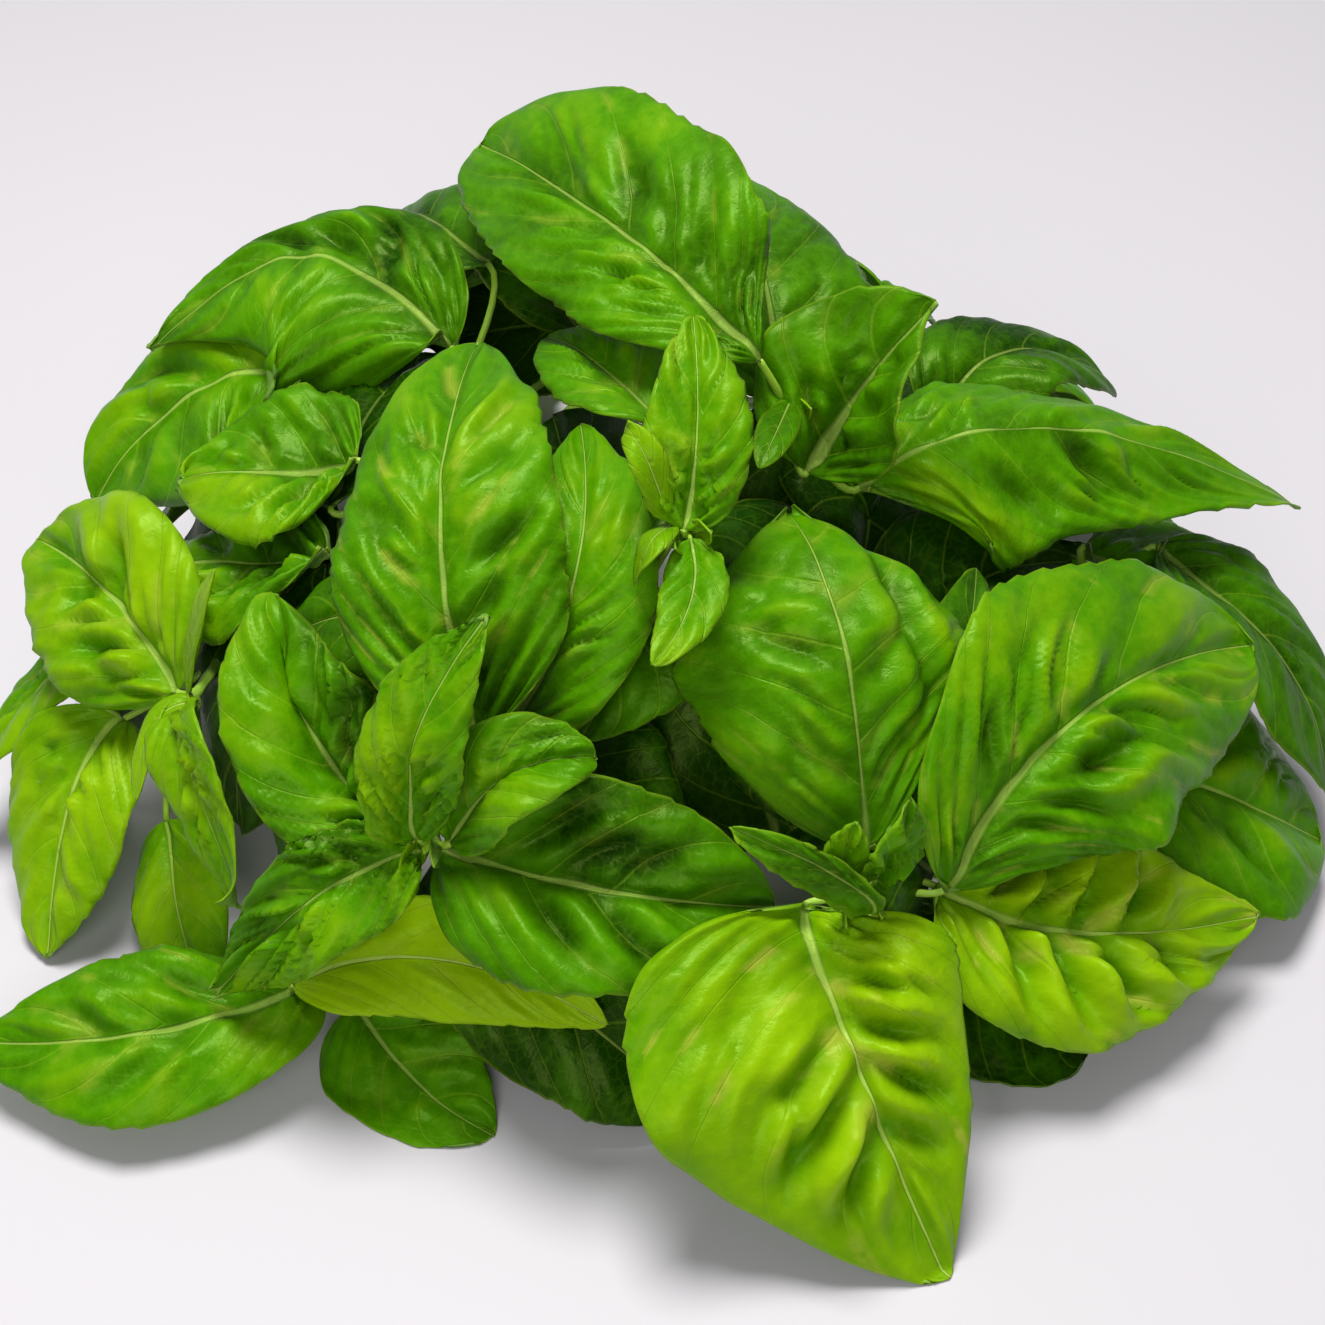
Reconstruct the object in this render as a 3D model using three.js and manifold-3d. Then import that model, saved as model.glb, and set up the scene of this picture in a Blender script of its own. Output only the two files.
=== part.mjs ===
// A bunch of cut basil lying on a surface: ten leafy stems, gathered at the back, whose leaves
// heap up in front into a low dome. Millimetres, +Z up, the surface at z = 0, the cut ends at +Y.
import * as THREE from 'three';
import Module from 'manifold-3d';
import { mergeVertices } from 'three/addons/utils/BufferGeometryUtils.js';

const wasm = await Module();
wasm.setup();

// ---- Driving dimensions ----
const HEAP = new THREE.Vector3(150, 146, 126); // radii of the dome that the leaves lie over
const ORIGIN_SHIFT = new THREE.Vector3(1.76, 0.95, 0); // puts the origin under the bunch's middle

const BLADE_THICKNESS = 0.8;
const BLADE_END = 0.7; // half width that a blade keeps at its base and its tip
const OVATE = [0.5, 0.7]; // outline: half width goes as s^first * (1 - s)^second
const OBOVATE = [0.8, 0.5]; // a blade that is widest past its middle
const ROUND = [0.55, 0.48]; // a blade whose tip curls under
const POINTED = [0.5, 0.85];
const TAPERED = [0.55, 1.05]; // a blade that draws out into its tip
// A blade unless its row says otherwise: its fold and bend in degrees, and how far its margin waves,
// as a share of its half width
const BLADE = { roll: 0, fold: 14, bend: -36, wave: 0.05, sides: [1, 1], form: OVATE };
const WAVES = 2.2; // along a margin
// Grids of the blades, by the width that they go up to
const BLADE_GRIDS = [
  { upTo: 22, rows: 4, columns: 2 },
  { upTo: 43, rows: 6, columns: 2 },
  { upTo: Infinity, rows: 7, columns: 4 },
];
const HIDDEN_LAYER = 2; // the leaves of these first layers lie under the others
const HIDDEN_GRID = { rows: 5, columns: 2 };
const SMALL_WIDTH = 22; // a blade narrower than this has a thin petiole, by the scale below
const SMALL_SCALE = 0.6;

const STEM_SIDES = 5;
const STEM_STEP = 22;
const STEM_RADIUS = { cut: 2.4, tip: 1.2 };
const STEM_NODES = [1, 4, 12, 26, 46, 72, 102, 136, 174]; // from the tip, where petioles leave
const PETIOLE_STEPS = 3;
const PETIOLE_RADIUS = { stem: 1.2, blade: 0.9 };
const PETIOLE_HANDLE = 0.3; // how far a petiole runs on along the stem and the rib, as a share of its length
const PETIOLE_BOWS = [0, 0.25, 0.5]; // sideways, as shares of its length
const WORTH_BOWING = 0.2; // the clearance, in mm, that a bow has to gain

// The two young leaves at a stem's tip: spread is how far they bulge apart, as a share of their
// length; they start this deep in the stem and this far off its middle
const YOUNG = { length: 13, width: 7, fold: 35, spread: 0.3, turn: 20, depth: 1, aside: 0.4 };

// Leaves rest on one another: each is laid over what lies below it, along the way it faces.
const LEAF_GAP = 3.0;
const REACH = 20; // what stands further above a leaf than this lies over it
const ROOT_CLEAR = 14; // a leaf ignores its own sprig this near its base
const SAMPLE_STEP = 4;
const SAMPLE_MARGIN = 2; // a point rises over the samples within half its cell and this much more
const SETTLE_PASSES = 3;
const REACH_UP = 0.35; // how far every leaf turns up from the dome's own slope, to the light
const LOW = 60; // below this height the leaves turn up more, as they spread on the surface
const SPREAD = 1.5;
const FLOOR = BLADE_THICKNESS / 2;

const SLIVER = 0.02; // edges shorter than this are drawn together when the solids are joined

const UP = new THREE.Vector3(0, 0, 1);
const rad = THREE.MathUtils.degToRad;

// ---- The sprigs ----
// stem: points from the cut end to the growing tip, in mm.
// leaves: rib = base, middle and end of the midrib,
// each as [bearing round the heap, climb from the surface to the top, mm out from the dome];
// width in mm; layer = the order the leaves are laid in; roll turns the blade about its rib, fold
// is its angle at the rib and bend what the angle gains towards the margin, all in degrees.
const SPRIGS = [
  {
    name: 'sprig_back', colour: '#3f7d20',
    stem: [[6, 182, 7.9], [10, 120, 26], [20, 60, 66], [30, 10, 100], [31, -15, 116]],
    leaves: [
      {
        rib: [[346, 79, -12], [109, 83, 17], [120, 57, 34]],
        width: 64, layer: 8, roll: -28, bend: -22, form: OBOVATE, sides: [0.85, 1.05],
      },
      { rib: [[359, 77, -15], [57, 73, 6], [82, 56, 20]], width: 62, layer: 6 },
      { rib: [[322, 71, -13], [338, 71, 8], [346, 69, 33]], width: 50, layer: 7, fold: 34, bend: -8 },
      {
        rib: [[339, 66, -22], [355, 53, 8], [4, 24, 36]],
        width: 70, layer: 7, roll: 28, fold: -28, sides: [0.8, 1.25], form: TAPERED,
      },
      { rib: [[328, 76, 0], [306, 73, 5], [295, 70, 5]], width: 10, layer: 9 },
      { rib: [[16, 54, -25], [23, 49, 5], [21, 34, 12]], width: 42, layer: 5 },
      { rib: [[10, 60, -44], [36, 52, -22], [54, 40, -16]], width: 52, layer: 2 },
      { rib: [[24, 62, -52], [350, 62, -38], [320, 58, -36]], width: 56, layer: 1 },
      { rib: [[39, 75, -36], [4, 74, -48], [325, 66, -60]], width: 50, layer: 1 },
    ],
  },
  {
    name: 'sprig_centre', colour: '#6fa32f',
    stem: [[-2, 182, 7.9], [-4, 120, 20], [-2, 50, 48], [2, -20, 90], [6, -66, 119]],
    leaves: [
      { rib: [[274, 64, 10], [278, 71, 22], [283, 80, 30]], width: 26, layer: 9, fold: 25 },
      { rib: [[275, 63, 10], [274, 57, 16], [269, 51, 20]], width: 16, layer: 9, fold: 20 },
      { rib: [[271, 65, 8], [266, 68, 10], [260, 71, 10]], width: 9, layer: 9 },
      { rib: [[272, 65, 6], [269, 62, 8], [266, 59, 4]], width: 8, layer: 9 },
      { rib: [[277, 79, -14], [208, 84, -4], [153, 77, -4]], width: 35, layer: 5 },
      { rib: [[272, 63, -20], [265, 55, -14], [258, 45, -20]], width: 34, layer: 4 },
      { rib: [[310, 60, -50], [292, 62, -34], [280, 52, -32]], width: 50, layer: 1 },
      { rib: [[252, 58, -40], [228, 74, -30], [150, 74, -30]], width: 62, layer: 1 },
      { rib: [[98, 48, -24], [114, 45, -17], [131, 41, -12]], width: 54, layer: 2, roll: -45 },
    ],
  },
  {
    name: 'sprig_front_right', colour: '#5f9a2c',
    stem: [[12, 182, 2.4], [24, 120, 8], [38, 30, 22], [46, -60, 42], [45, -120, 58]],
    leaves: [
      { rib: [[288, 28, 2], [287, 33, 12], [288, 37, 20]], width: 13, layer: 9, fold: 25 },
      { rib: [[291, 30, 4], [292, 34, 13], [293, 38, 22]], width: 15, layer: 9, fold: 22 },
      { rib: [[287, 28, 0], [281, 34, 8], [276, 38, 14]], width: 10, layer: 9, fold: 30 },
      { rib: [[292, 31, -8], [294, 51, 8], [302, 67, -6]], width: 82, layer: 6, fold: -15, form: ROUND },
      { rib: [[300, 29, -22], [310, 42, -6], [330, 51, -10]], width: 30, layer: 4 },
      { rib: [[299, 24, -10], [318, 36, 10], [345, 25, 14]], width: 70, layer: 6, form: ROUND },
      { rib: [[300, 23, -12], [311, 15, 6], [327, 6, 22]], width: 58, layer: 5, form: POINTED },
      {
        rib: [[284, 27, -4], [285, 17, 20], [289, -1, 48]],
        width: 80, layer: 7, sides: [0.75, 1.3], bend: -30, form: POINTED,
      },
      { rib: [[286, 30, -42], [284, 45, -30], [290, 58, -24]], width: 52, layer: 1 },
      { rib: [[302, 23, -18], [295, 27, -24], [286, 26, -30]], width: 46, layer: 2 },
      { rib: [[304, 12, -40], [307, 3, -6], [310, -1, 12]], width: 46, layer: 2 },
      { rib: [[330, 40, -50], [337, 48, -28], [352, 38, -14]], width: 54, layer: 2 },
      { rib: [[322, 26, -46], [334, 32, -24], [348, 36, -16]], width: 50, layer: 2 },
      { rib: [[297, 46, -62], [292, 35, -52], [286, 24, -44]], width: 52, layer: 1 },
    ],
  },
  {
    name: 'sprig_front_left', colour: '#558f2a',
    stem: [[4, 182, 2.4], [-6, 120, 9], [-26, 30, 30], [-44, -60, 54], [-53, -111, 66]],
    leaves: [
      { rib: [[245, 33, 0], [245, 43, 20], [249, 53, 28]], width: 26, layer: 9, fold: 20 },
      { rib: [[246, 31, -6], [264, 31, 2], [282, 27, -8]], width: 52, layer: 5, fold: 35 },
      { rib: [[248, 33, 2], [254, 41, 9], [263, 43, 0]], width: 28, layer: 8, fold: 40 },
      { rib: [[245, 31, 0], [238, 25, 10], [230, 10, 14]], width: 30, layer: 8 },
      { rib: [[239, 31, -10], [228, 37, 2], [213, 45, 4]], width: 42, layer: 6, fold: 42 },
      { rib: [[230, 50, -20], [219, 48, -8], [212, 40, -10]], width: 32, layer: 4 },
      { rib: [[246, 42, -12], [232, 60, 14], [179, 73, 5]], width: 60, layer: 6, sides: [0.9, 1] },
      { rib: [[246, 43, -16], [255, 59, 2], [234, 77, -2]], width: 40, layer: 4 },
      { rib: [[250, 45, -40], [262, 35, -30], [275, 28, -26]], width: 44, layer: 2 },
      { rib: [[225, 30, -45], [215, 40, -24], [200, 48, -18]], width: 50, layer: 2 },
      { rib: [[257, 50, -66], [251, 38, -55], [244, 26, -44]], width: 52, layer: 1 },
    ],
  },
  {
    name: 'sprig_low_front', colour: '#7fae3b',
    stem: [[-12, 182, 2.4], [-40, 120, 4], [-74, 40, 5], [-92, -50, 7], [-88, -110, 13]],
    leaves: [
      { rib: [[233, 8, -7], [228, 8, 31], [218, 4, 60]], width: 46, layer: 7 },
      { rib: [[233, 8, -4], [247, 16, -14], [265, 11, -14]], width: 30, layer: 7 },
      { rib: [[237, 5, -12], [246, 1, -4], [255, -1, 4]], width: 40, layer: 3 },
      { rib: [[240, 12, -30], [262, 8, -20], [272, 2, -4]], width: 42, layer: 3 },
      { rib: [[237, 8, -42], [258, 12, -36], [278, 14, -28]], width: 46, layer: 1 },
      { rib: [[227, 8, -30], [231, 15, -22], [239, 20, -20]], width: 42, layer: 2 },
    ],
  },
  {
    name: 'sprig_left', colour: '#78ab33',
    stem: [[-20, 182, 2.4], [-54, 120, 14], [-88, 40, 34], [-108, -20, 52], [-115, -62, 64]],
    leaves: [
      { rib: [[206, 29, 2], [192, 30, 16], [181, 25, 31]], width: 52, layer: 6, fold: 22 },
      { rib: [[188, 19, 10], [191, 15, 24], [195, 7, 38]], width: 32, layer: 5 },
      { rib: [[209, 31, 4], [210, 38, 14], [211, 45, 22]], width: 9, layer: 9 },
      { rib: [[211, 31, 4], [211, 28, 12], [215, 22, 16]], width: 10, layer: 9 },
      { rib: [[211, 30, 0], [221, 27, 8], [229, 18, 6]], width: 22, layer: 9 },
      { rib: [[198, 17, -2], [205, 9, 18], [211, 1, 32]], width: 42, layer: 5 },
      { rib: [[208, 12, -4], [217, 6, 2], [224, 1, 8]], width: 28, layer: 4 },
      { rib: [[202, 34, -46], [197, 24, -30], [190, 13, -18]], width: 52, layer: 1 },
      { rib: [[172, 14, -44], [176, 5, -8], [180, -1, 14]], width: 46, layer: 2 },
      { rib: [[206, 34, -54], [209, 25, -33], [214, 12, -20]], width: 46, layer: 1 },
    ],
  },
  {
    name: 'sprig_upper_left', colour: '#4d8a28',
    stem: [[-10, 182, 7.9], [-26, 130, 26], [-48, 80, 52], [-62, 30, 74], [-66, -6, 84]],
    leaves: [
      {
        rib: [[146, 61, -16], [145, 46, 19], [161, 36, 32]],
        width: 62, layer: 7, roll: -35, fold: 5, bend: -48, sides: [1.6, 0.85], form: TAPERED,
      },
      { rib: [[182, 55, -24], [180, 47, -13], [177, 35, -5]], width: 52, layer: 6, roll: -25, fold: 20 },
      { rib: [[205, 49, -22], [193, 38, -10], [184, 26, -4]], width: 50, layer: 5, fold: -12 },
      {
        rib: [[158, 46, -6], [162, 37, 13], [172, 24, 22]],
        width: 62, layer: 5, roll: -38, sides: [1.7, 0.95],
      },
      { rib: [[115, 65, -18], [119, 58, -2], [121, 44, 18]], width: 36, layer: 5 },
      { rib: [[129, 58, -15], [127, 47, 8], [124, 37, 26]], width: 42, layer: 6 },
      { rib: [[150, 40, -42], [165, 50, -20], [190, 60, -16]], width: 50, layer: 1 },
      { rib: [[190, 44, -42], [180, 32, -16], [172, 19, -6]], width: 60, layer: 1 },
      { rib: [[192, 50, -26], [166, 56, -15], [142, 57, -15]], width: 46, layer: 2 },
    ],
  },
  {
    name: 'sprig_right', colour: '#417f22',
    stem: [[28, 182, 2.4], [60, 120, 8], [96, 60, 18], [116, 20, 32], [118, -18, 42]],
    leaves: [
      { rib: [[354, 36, -16], [353, 27, 6], [353, 12, 30]], width: 58, layer: 5 },
      { rib: [[332, 19, -14], [336, 13, 12], [341, 4, 33]], width: 66, layer: 4, form: ROUND },
      { rib: [[356, 27, -16], [350, 19, 6], [343, 6, 30]], width: 52, layer: 5 },
      { rib: [[342, 8, -36], [330, 3, -8], [318, -1, 8]], width: 44, layer: 2 },
      { rib: [[18, 12, -44], [10, 6, -8], [6, -1, 12]], width: 46, layer: 2 },
      { rib: [[352, 10, -44], [352, 4, -8], [354, -1, 12]], width: 44, layer: 2 },
    ],
  },
  {
    name: 'sprig_back_left', colour: '#528e2a',
    stem: [[-28, 182, 2.4], [-50, 140, 16], [-70, 105, 36], [-78, 88, 50]],
    leaves: [
      { rib: [[130, 34, -20], [140, 20, 10], [148, 4, 18]], width: 54, layer: 5 },
      { rib: [[124, 34, -20], [112, 26, 8], [106, 8, 14]], width: 52, layer: 5 },
      { rib: [[128, 26, -30], [160, 18, 0], [170, 4, 10]], width: 48, layer: 3 },
      { rib: [[130, 38, -16], [122, 49, 2], [113, 59, 2]], width: 42, layer: 4 },
      { rib: [[120, 38, -18], [104, 36, 4], [92, 24, 12]], width: 50, layer: 4 },
      { rib: [[126, 14, -24], [112, 10, 0], [103, 2, 12]], width: 44, layer: 3 },
    ],
  },
  {
    name: 'sprig_back_right', colour: '#4b8726',
    stem: [[20, 182, 2.4], [44, 140, 18], [66, 105, 42], [74, 82, 60]],
    leaves: [
      { rib: [[48, 38, -20], [40, 22, 10], [32, 4, 18]], width: 54, layer: 5 },
      { rib: [[52, 38, -20], [66, 28, 8], [74, 8, 14]], width: 52, layer: 5 },
      { rib: [[50, 28, -30], [20, 18, 0], [12, 4, 10]], width: 46, layer: 3 },
      { rib: [[50, 42, -16], [62, 54, 4], [80, 64, 6]], width: 46, layer: 4 },
      { rib: [[60, 30, -22], [78, 26, 0], [90, 10, 10]], width: 48, layer: 3 },
    ],
  },
];

// ---- The heap's shape ----

/** A point given as [bearing, climb, mm out from the dome]. */
function onHeap([bearing, climb, out]) {
  const b = rad(bearing);
  const c = rad(climb);
  return new THREE.Vector3(
    (HEAP.x + out) * Math.cos(c) * Math.cos(b),
    (HEAP.y + out) * Math.cos(c) * Math.sin(b),
    (HEAP.z + out) * Math.sin(c),
  );
}

/** The way a leaf at this point faces: out of the dome, and up where the heap meets the surface. */
function outward(point) {
  const n = new THREE.Vector3(point.x / HEAP.x ** 2, point.y / HEAP.y ** 2, point.z / HEAP.z ** 2);
  n.normalize();
  const flare = SPREAD * Math.max(0, 1 - point.z / LOW);
  return n.addScaledVector(UP, REACH_UP + flare).normalize();
}

// ---- Blades ----

/** Point and direction of the midrib, a parabola through its three points, at s from 0 to 1. */
function ribAt([base, middle, end], s) {
  const point = new THREE.Vector3()
    .addScaledVector(base, (1 - s) * (1 - 2 * s))
    .addScaledVector(middle, 4 * s * (1 - s))
    .addScaledVector(end, s * (2 * s - 1));
  const along = new THREE.Vector3()
    .addScaledVector(base, 4 * s - 3)
    .addScaledVector(middle, 4 - 8 * s)
    .addScaledVector(end, 4 * s - 1)
    .normalize();
  return { point, along };
}

/** Half width of an ovate blade at s, as a share of its widest. */
function outline([base, tip], s) {
  const shape = (x) => x ** base * (1 - x) ** tip;
  return shape(s) / shape(base / (base + tip));
}

/** How far out and how high a cross section runs at t of its half, bent evenly from the rib. */
function section(t, fold, bend) {
  if (Math.abs(bend) < 1e-6) return [t * Math.cos(fold), t * Math.sin(fold)];
  return [
    (Math.sin(fold + bend * t) - Math.sin(fold)) / bend,
    (Math.cos(fold) - Math.cos(fold + bend * t)) / bend,
  ];
}

/** The grid of points of a leaf's blade before it settles, about a midrib through three points:
 * grid[row][column]. */
function bladeGrid(leaf, rib, reference) {
  const { rows, columns } = leaf.layer <= HIDDEN_LAYER
    ? HIDDEN_GRID : BLADE_GRIDS.find(({ upTo }) => leaf.width < upTo);
  const { roll, fold, bend, wave, sides, form } = { ...BLADE, ...leaf };
  const grid = [];
  for (let i = 0; i <= rows; i++) {
    const s = (1 - Math.cos((Math.PI * i) / rows)) / 2;
    const { point, along } = ribAt(rib, s);
    const facing = reference.clone();
    facing.addScaledVector(along, -facing.dot(along)).normalize();
    facing.applyAxisAngle(along, rad(roll));
    const across = new THREE.Vector3().crossVectors(along, facing);
    const half = Math.max(BLADE_END, (leaf.width / 2) * outline(form, s));
    const row = [];
    for (let j = 0; j <= columns; j++) {
      const t = (2 * j) / columns - 1;
      const reach = half * (t < 0 ? sides[0] : sides[1]);
      const [out, rise] = section(Math.abs(t), rad(fold), rad(bend));
      const swing = WAVES * s + 0.3 * Math.sign(t) + leaf.width / 9; // no two margins alike
      const ripple = wave * half * t * t * Math.sin(2 * Math.PI * swing);
      row.push(point.clone()
        .addScaledVector(across, Math.sign(t) * out * reach)
        .addScaledVector(facing, rise * reach + ripple));
    }
    grid.push(row);
  }
  return grid;
}

/** The unit normal of a grid at a point of it. */
function gridNormal(grid, i, j) {
  const rows = grid.length - 1;
  const columns = grid[0].length - 1;
  const down = new THREE.Vector3()
    .subVectors(grid[Math.min(i + 1, rows)][j], grid[Math.max(i - 1, 0)][j]);
  const across = new THREE.Vector3()
    .subVectors(grid[i][Math.min(j + 1, columns)], grid[i][Math.max(j - 1, 0)]);
  return across.cross(down).normalize();
}

/** A closed leaf: a petiole of four sides that opens into a blade of even thickness. It is a row
 * of sections, each with its upper and its lower points from left to right, joined by strips. */
function leafGeometry(grid, petiole, petioleScale) {
  const middle = (grid[0].length - 1) / 2;
  const positions = [];
  const vertex = (point) => positions.push(point.x, point.y, point.z) / 3 - 1;
  const offset = (point, direction, distance) => (
    vertex(point.clone().addScaledVector(direction, distance))
  );

  const rings = [];
  const top = gridNormal(grid, 0, middle);
  for (let i = petiole.length - 1; i >= 0; i--) {
    const before = petiole[Math.max(i - 1, 0)];
    const after = petiole[Math.min(i + 1, petiole.length - 1)];
    const along = new THREE.Vector3().subVectors(after, before).normalize();
    top.addScaledVector(along, -top.dot(along)).normalize();
    const across = new THREE.Vector3().crossVectors(along, top);
    const share = i / (petiole.length - 1);
    const radius = petioleScale * THREE.MathUtils.lerp(PETIOLE_RADIUS.stem, PETIOLE_RADIUS.blade, share);
    const left = offset(petiole[i], across, -radius);
    const right = offset(petiole[i], across, radius);
    const upper = [left, offset(petiole[i], top, radius), right];
    const lower = [left, offset(petiole[i], top, -radius), right];
    rings.unshift({ upper, lower });
  }

  const half = BLADE_THICKNESS / 2;
  const rows = grid.slice(1, -1).map((row, i) => ({
    upper: row.map((point, j) => offset(point, gridNormal(grid, i + 1, j), half)),
    lower: row.map((point, j) => offset(point, gridNormal(grid, i + 1, j), -half)),
  }));
  const end = grid.length - 1;
  const tipNormal = gridNormal(grid, end, middle);
  const tip = {
    upper: [offset(grid[end][middle], tipNormal, half)],
    lower: [offset(grid[end][middle], tipNormal, -half)],
  };

  // Both sides of the blade are split along the same diagonals, so that it stays as thick where it
  // twists.
  const index = [];
  const strip = (near, far, under = false) => {
    const face = (a, b, c) => index.push(...(under ? [a, c, b] : [a, b, c]));
    let i = 0;
    let j = 0;
    while (i < near.length - 1 || j < far.length - 1) {
      const nearLags = (i + 1) * (far.length - 1) <= (j + 1) * (near.length - 1);
      if (i < near.length - 1 && (nearLags || j === far.length - 1)) {
        face(near[i], near[i + 1], far[j]);
        i += 1;
      } else {
        face(near[i], far[j + 1], far[j]);
        j += 1;
      }
    }
  };
  const sections = [...rings, ...rows, tip];
  for (let i = 0; i < sections.length - 1; i++) {
    const [near, far] = [sections[i], sections[i + 1]];
    strip(near.upper, far.upper);
    strip(near.lower, far.lower, true);
    strip(leftEdge(near), leftEdge(far));
    strip(rightEdge(far), rightEdge(near));
  }
  const [left, above, right] = rings[0].upper;
  index.push(left, right, above, right, left, rings[0].lower[1]);
  const geometry = new THREE.BufferGeometry();
  geometry.setAttribute('position', new THREE.Float32BufferAttribute(positions, 3));
  geometry.setIndex(index);
  return geometry;
}

/** The left and the right edge of a section, downwards: one vertex where its faces meet. */
const leftEdge = ({ upper, lower }) => [...new Set([lower[0], upper[0]])];
const rightEdge = ({ upper, lower }) => [...new Set([lower.at(-1), upper.at(-1)])];

// ---- Stems and petioles ----

/** A closed tube round a list of points, with a radius for each. */
function tubeGeometry(points, radii, sides) {
  const positions = [];
  const index = [];
  let normal = null;
  points.forEach((point, i) => {
    const along = new THREE.Vector3()
      .subVectors(points[Math.min(i + 1, points.length - 1)], points[Math.max(i - 1, 0)])
      .normalize();
    if (!normal) normal = new THREE.Vector3(1, 0, 0).cross(along).normalize();
    normal.addScaledVector(along, -normal.dot(along)).normalize();
    const binormal = new THREE.Vector3().crossVectors(along, normal);
    for (let k = 0; k < sides; k++) {
      const angle = (2 * Math.PI * (k + 0.5)) / sides;
      const p = point.clone()
        .addScaledVector(normal, radii[i] * Math.cos(angle))
        .addScaledVector(binormal, radii[i] * Math.sin(angle));
      positions.push(p.x, p.y, p.z);
    }
  });
  const at = (i, k) => i * sides + (k % sides);
  for (let i = 0; i < points.length - 1; i++) {
    for (let k = 0; k < sides; k++) {
      index.push(at(i, k), at(i, k + 1), at(i + 1, k + 1), at(i, k), at(i + 1, k + 1), at(i + 1, k));
    }
  }
  const end = points.length - 1;
  for (let k = 1; k < sides - 1; k++) {
    index.push(at(0, 0), at(0, k + 1), at(0, k));
    index.push(at(end, 0), at(end, k), at(end, k + 1));
  }
  const geometry = new THREE.BufferGeometry();
  geometry.setAttribute('position', new THREE.Float32BufferAttribute(positions, 3));
  geometry.setIndex(index);
  return geometry;
}

/** The stem's centre line, with its length. */
function stemPath(sprig) {
  const points = sprig.stem.map((p) => new THREE.Vector3(...p));
  const curve = new THREE.CatmullRomCurve3(points, false, 'centripetal');
  return { curve, length: curve.getLength() };
}

/** The petiole from the stem's nearest node to a settled blade: a cubic that leaves along the stem,
 * bowed to one side or another, whichever keeps it furthest from what is already there, and ends in
 * the rib. */
function petiolePoints(path, grid, placed, sprig) {
  const middle = (grid[0].length - 1) / 2;
  const base = grid[0][middle];
  const nodes = STEM_NODES.map((fromTip) => Math.max(0, 1 - fromTip / path.length));
  const distance = (u) => path.curve.getPointAt(u).distanceTo(base);
  const u = nodes.reduce((a, b) => (distance(b) < distance(a) ? b : a));
  const root = path.curve.getPointAt(u);
  const along = path.curve.getTangentAt(u);
  const rib = new THREE.Vector3().subVectors(grid[1][middle], base).normalize();
  const chord = new THREE.Vector3().subVectors(base, root);
  const length = chord.length();
  chord.normalize();
  const sideways = new THREE.Vector3().crossVectors(chord, UP).normalize();
  const upward = new THREE.Vector3().crossVectors(sideways, chord);
  let best = null;
  for (const bow of PETIOLE_BOWS) {
    for (let k = 0; k < (bow ? 8 : 1); k++) {
      const shift = new THREE.Vector3()
        .addScaledVector(sideways, Math.cos((k * Math.PI) / 4))
        .addScaledVector(upward, Math.sin((k * Math.PI) / 4))
        .multiplyScalar(bow * length);
      const curve = new THREE.CubicBezierCurve3(
        root,
        root.clone().addScaledVector(along, PETIOLE_HANDLE * length).add(shift),
        base.clone().addScaledVector(rib, -PETIOLE_HANDLE * length).add(shift),
        base,
      );
      const points = curve.getPoints(PETIOLE_STEPS * 2);
      const clear = Math.min(LEAF_GAP, ...points.slice(2).map((p) => nearest(p, placed, sprig)));
      if (!best || clear > best.clear + WORTH_BOWING) best = { curve, clear };
    }
  }
  return best.curve.getPoints(PETIOLE_STEPS);
}

// ---- Settling ----

/** The distance from a point to the nearest placed sample of another sprig. */
function nearest(point, placed, sprig) {
  let best = Infinity;
  for (const sample of placed) {
    if (sample.sprig !== sprig) best = Math.min(best, sample.point.distanceTo(point));
  }
  return best;
}

/** Points about SAMPLE_STEP apart all over a grid. */
function samplesOf(grid) {
  const samples = [];
  for (let i = 0; i < grid.length - 1; i++) {
    for (let j = 0; j < grid[0].length - 1; j++) {
      const [a, b, c, d] = [grid[i][j], grid[i][j + 1], grid[i + 1][j], grid[i + 1][j + 1]];
      const down = Math.ceil(Math.max(a.distanceTo(c), b.distanceTo(d)) / SAMPLE_STEP);
      const across = Math.ceil(Math.max(a.distanceTo(b), c.distanceTo(d)) / SAMPLE_STEP);
      for (let x = 0; x <= down; x++) {
        for (let y = 0; y <= across; y++) {
          const near = a.clone().lerp(b, y / across);
          samples.push(near.lerp(c.clone().lerp(d, y / across), x / down));
        }
      }
    }
  }
  return samples;
}

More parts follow.
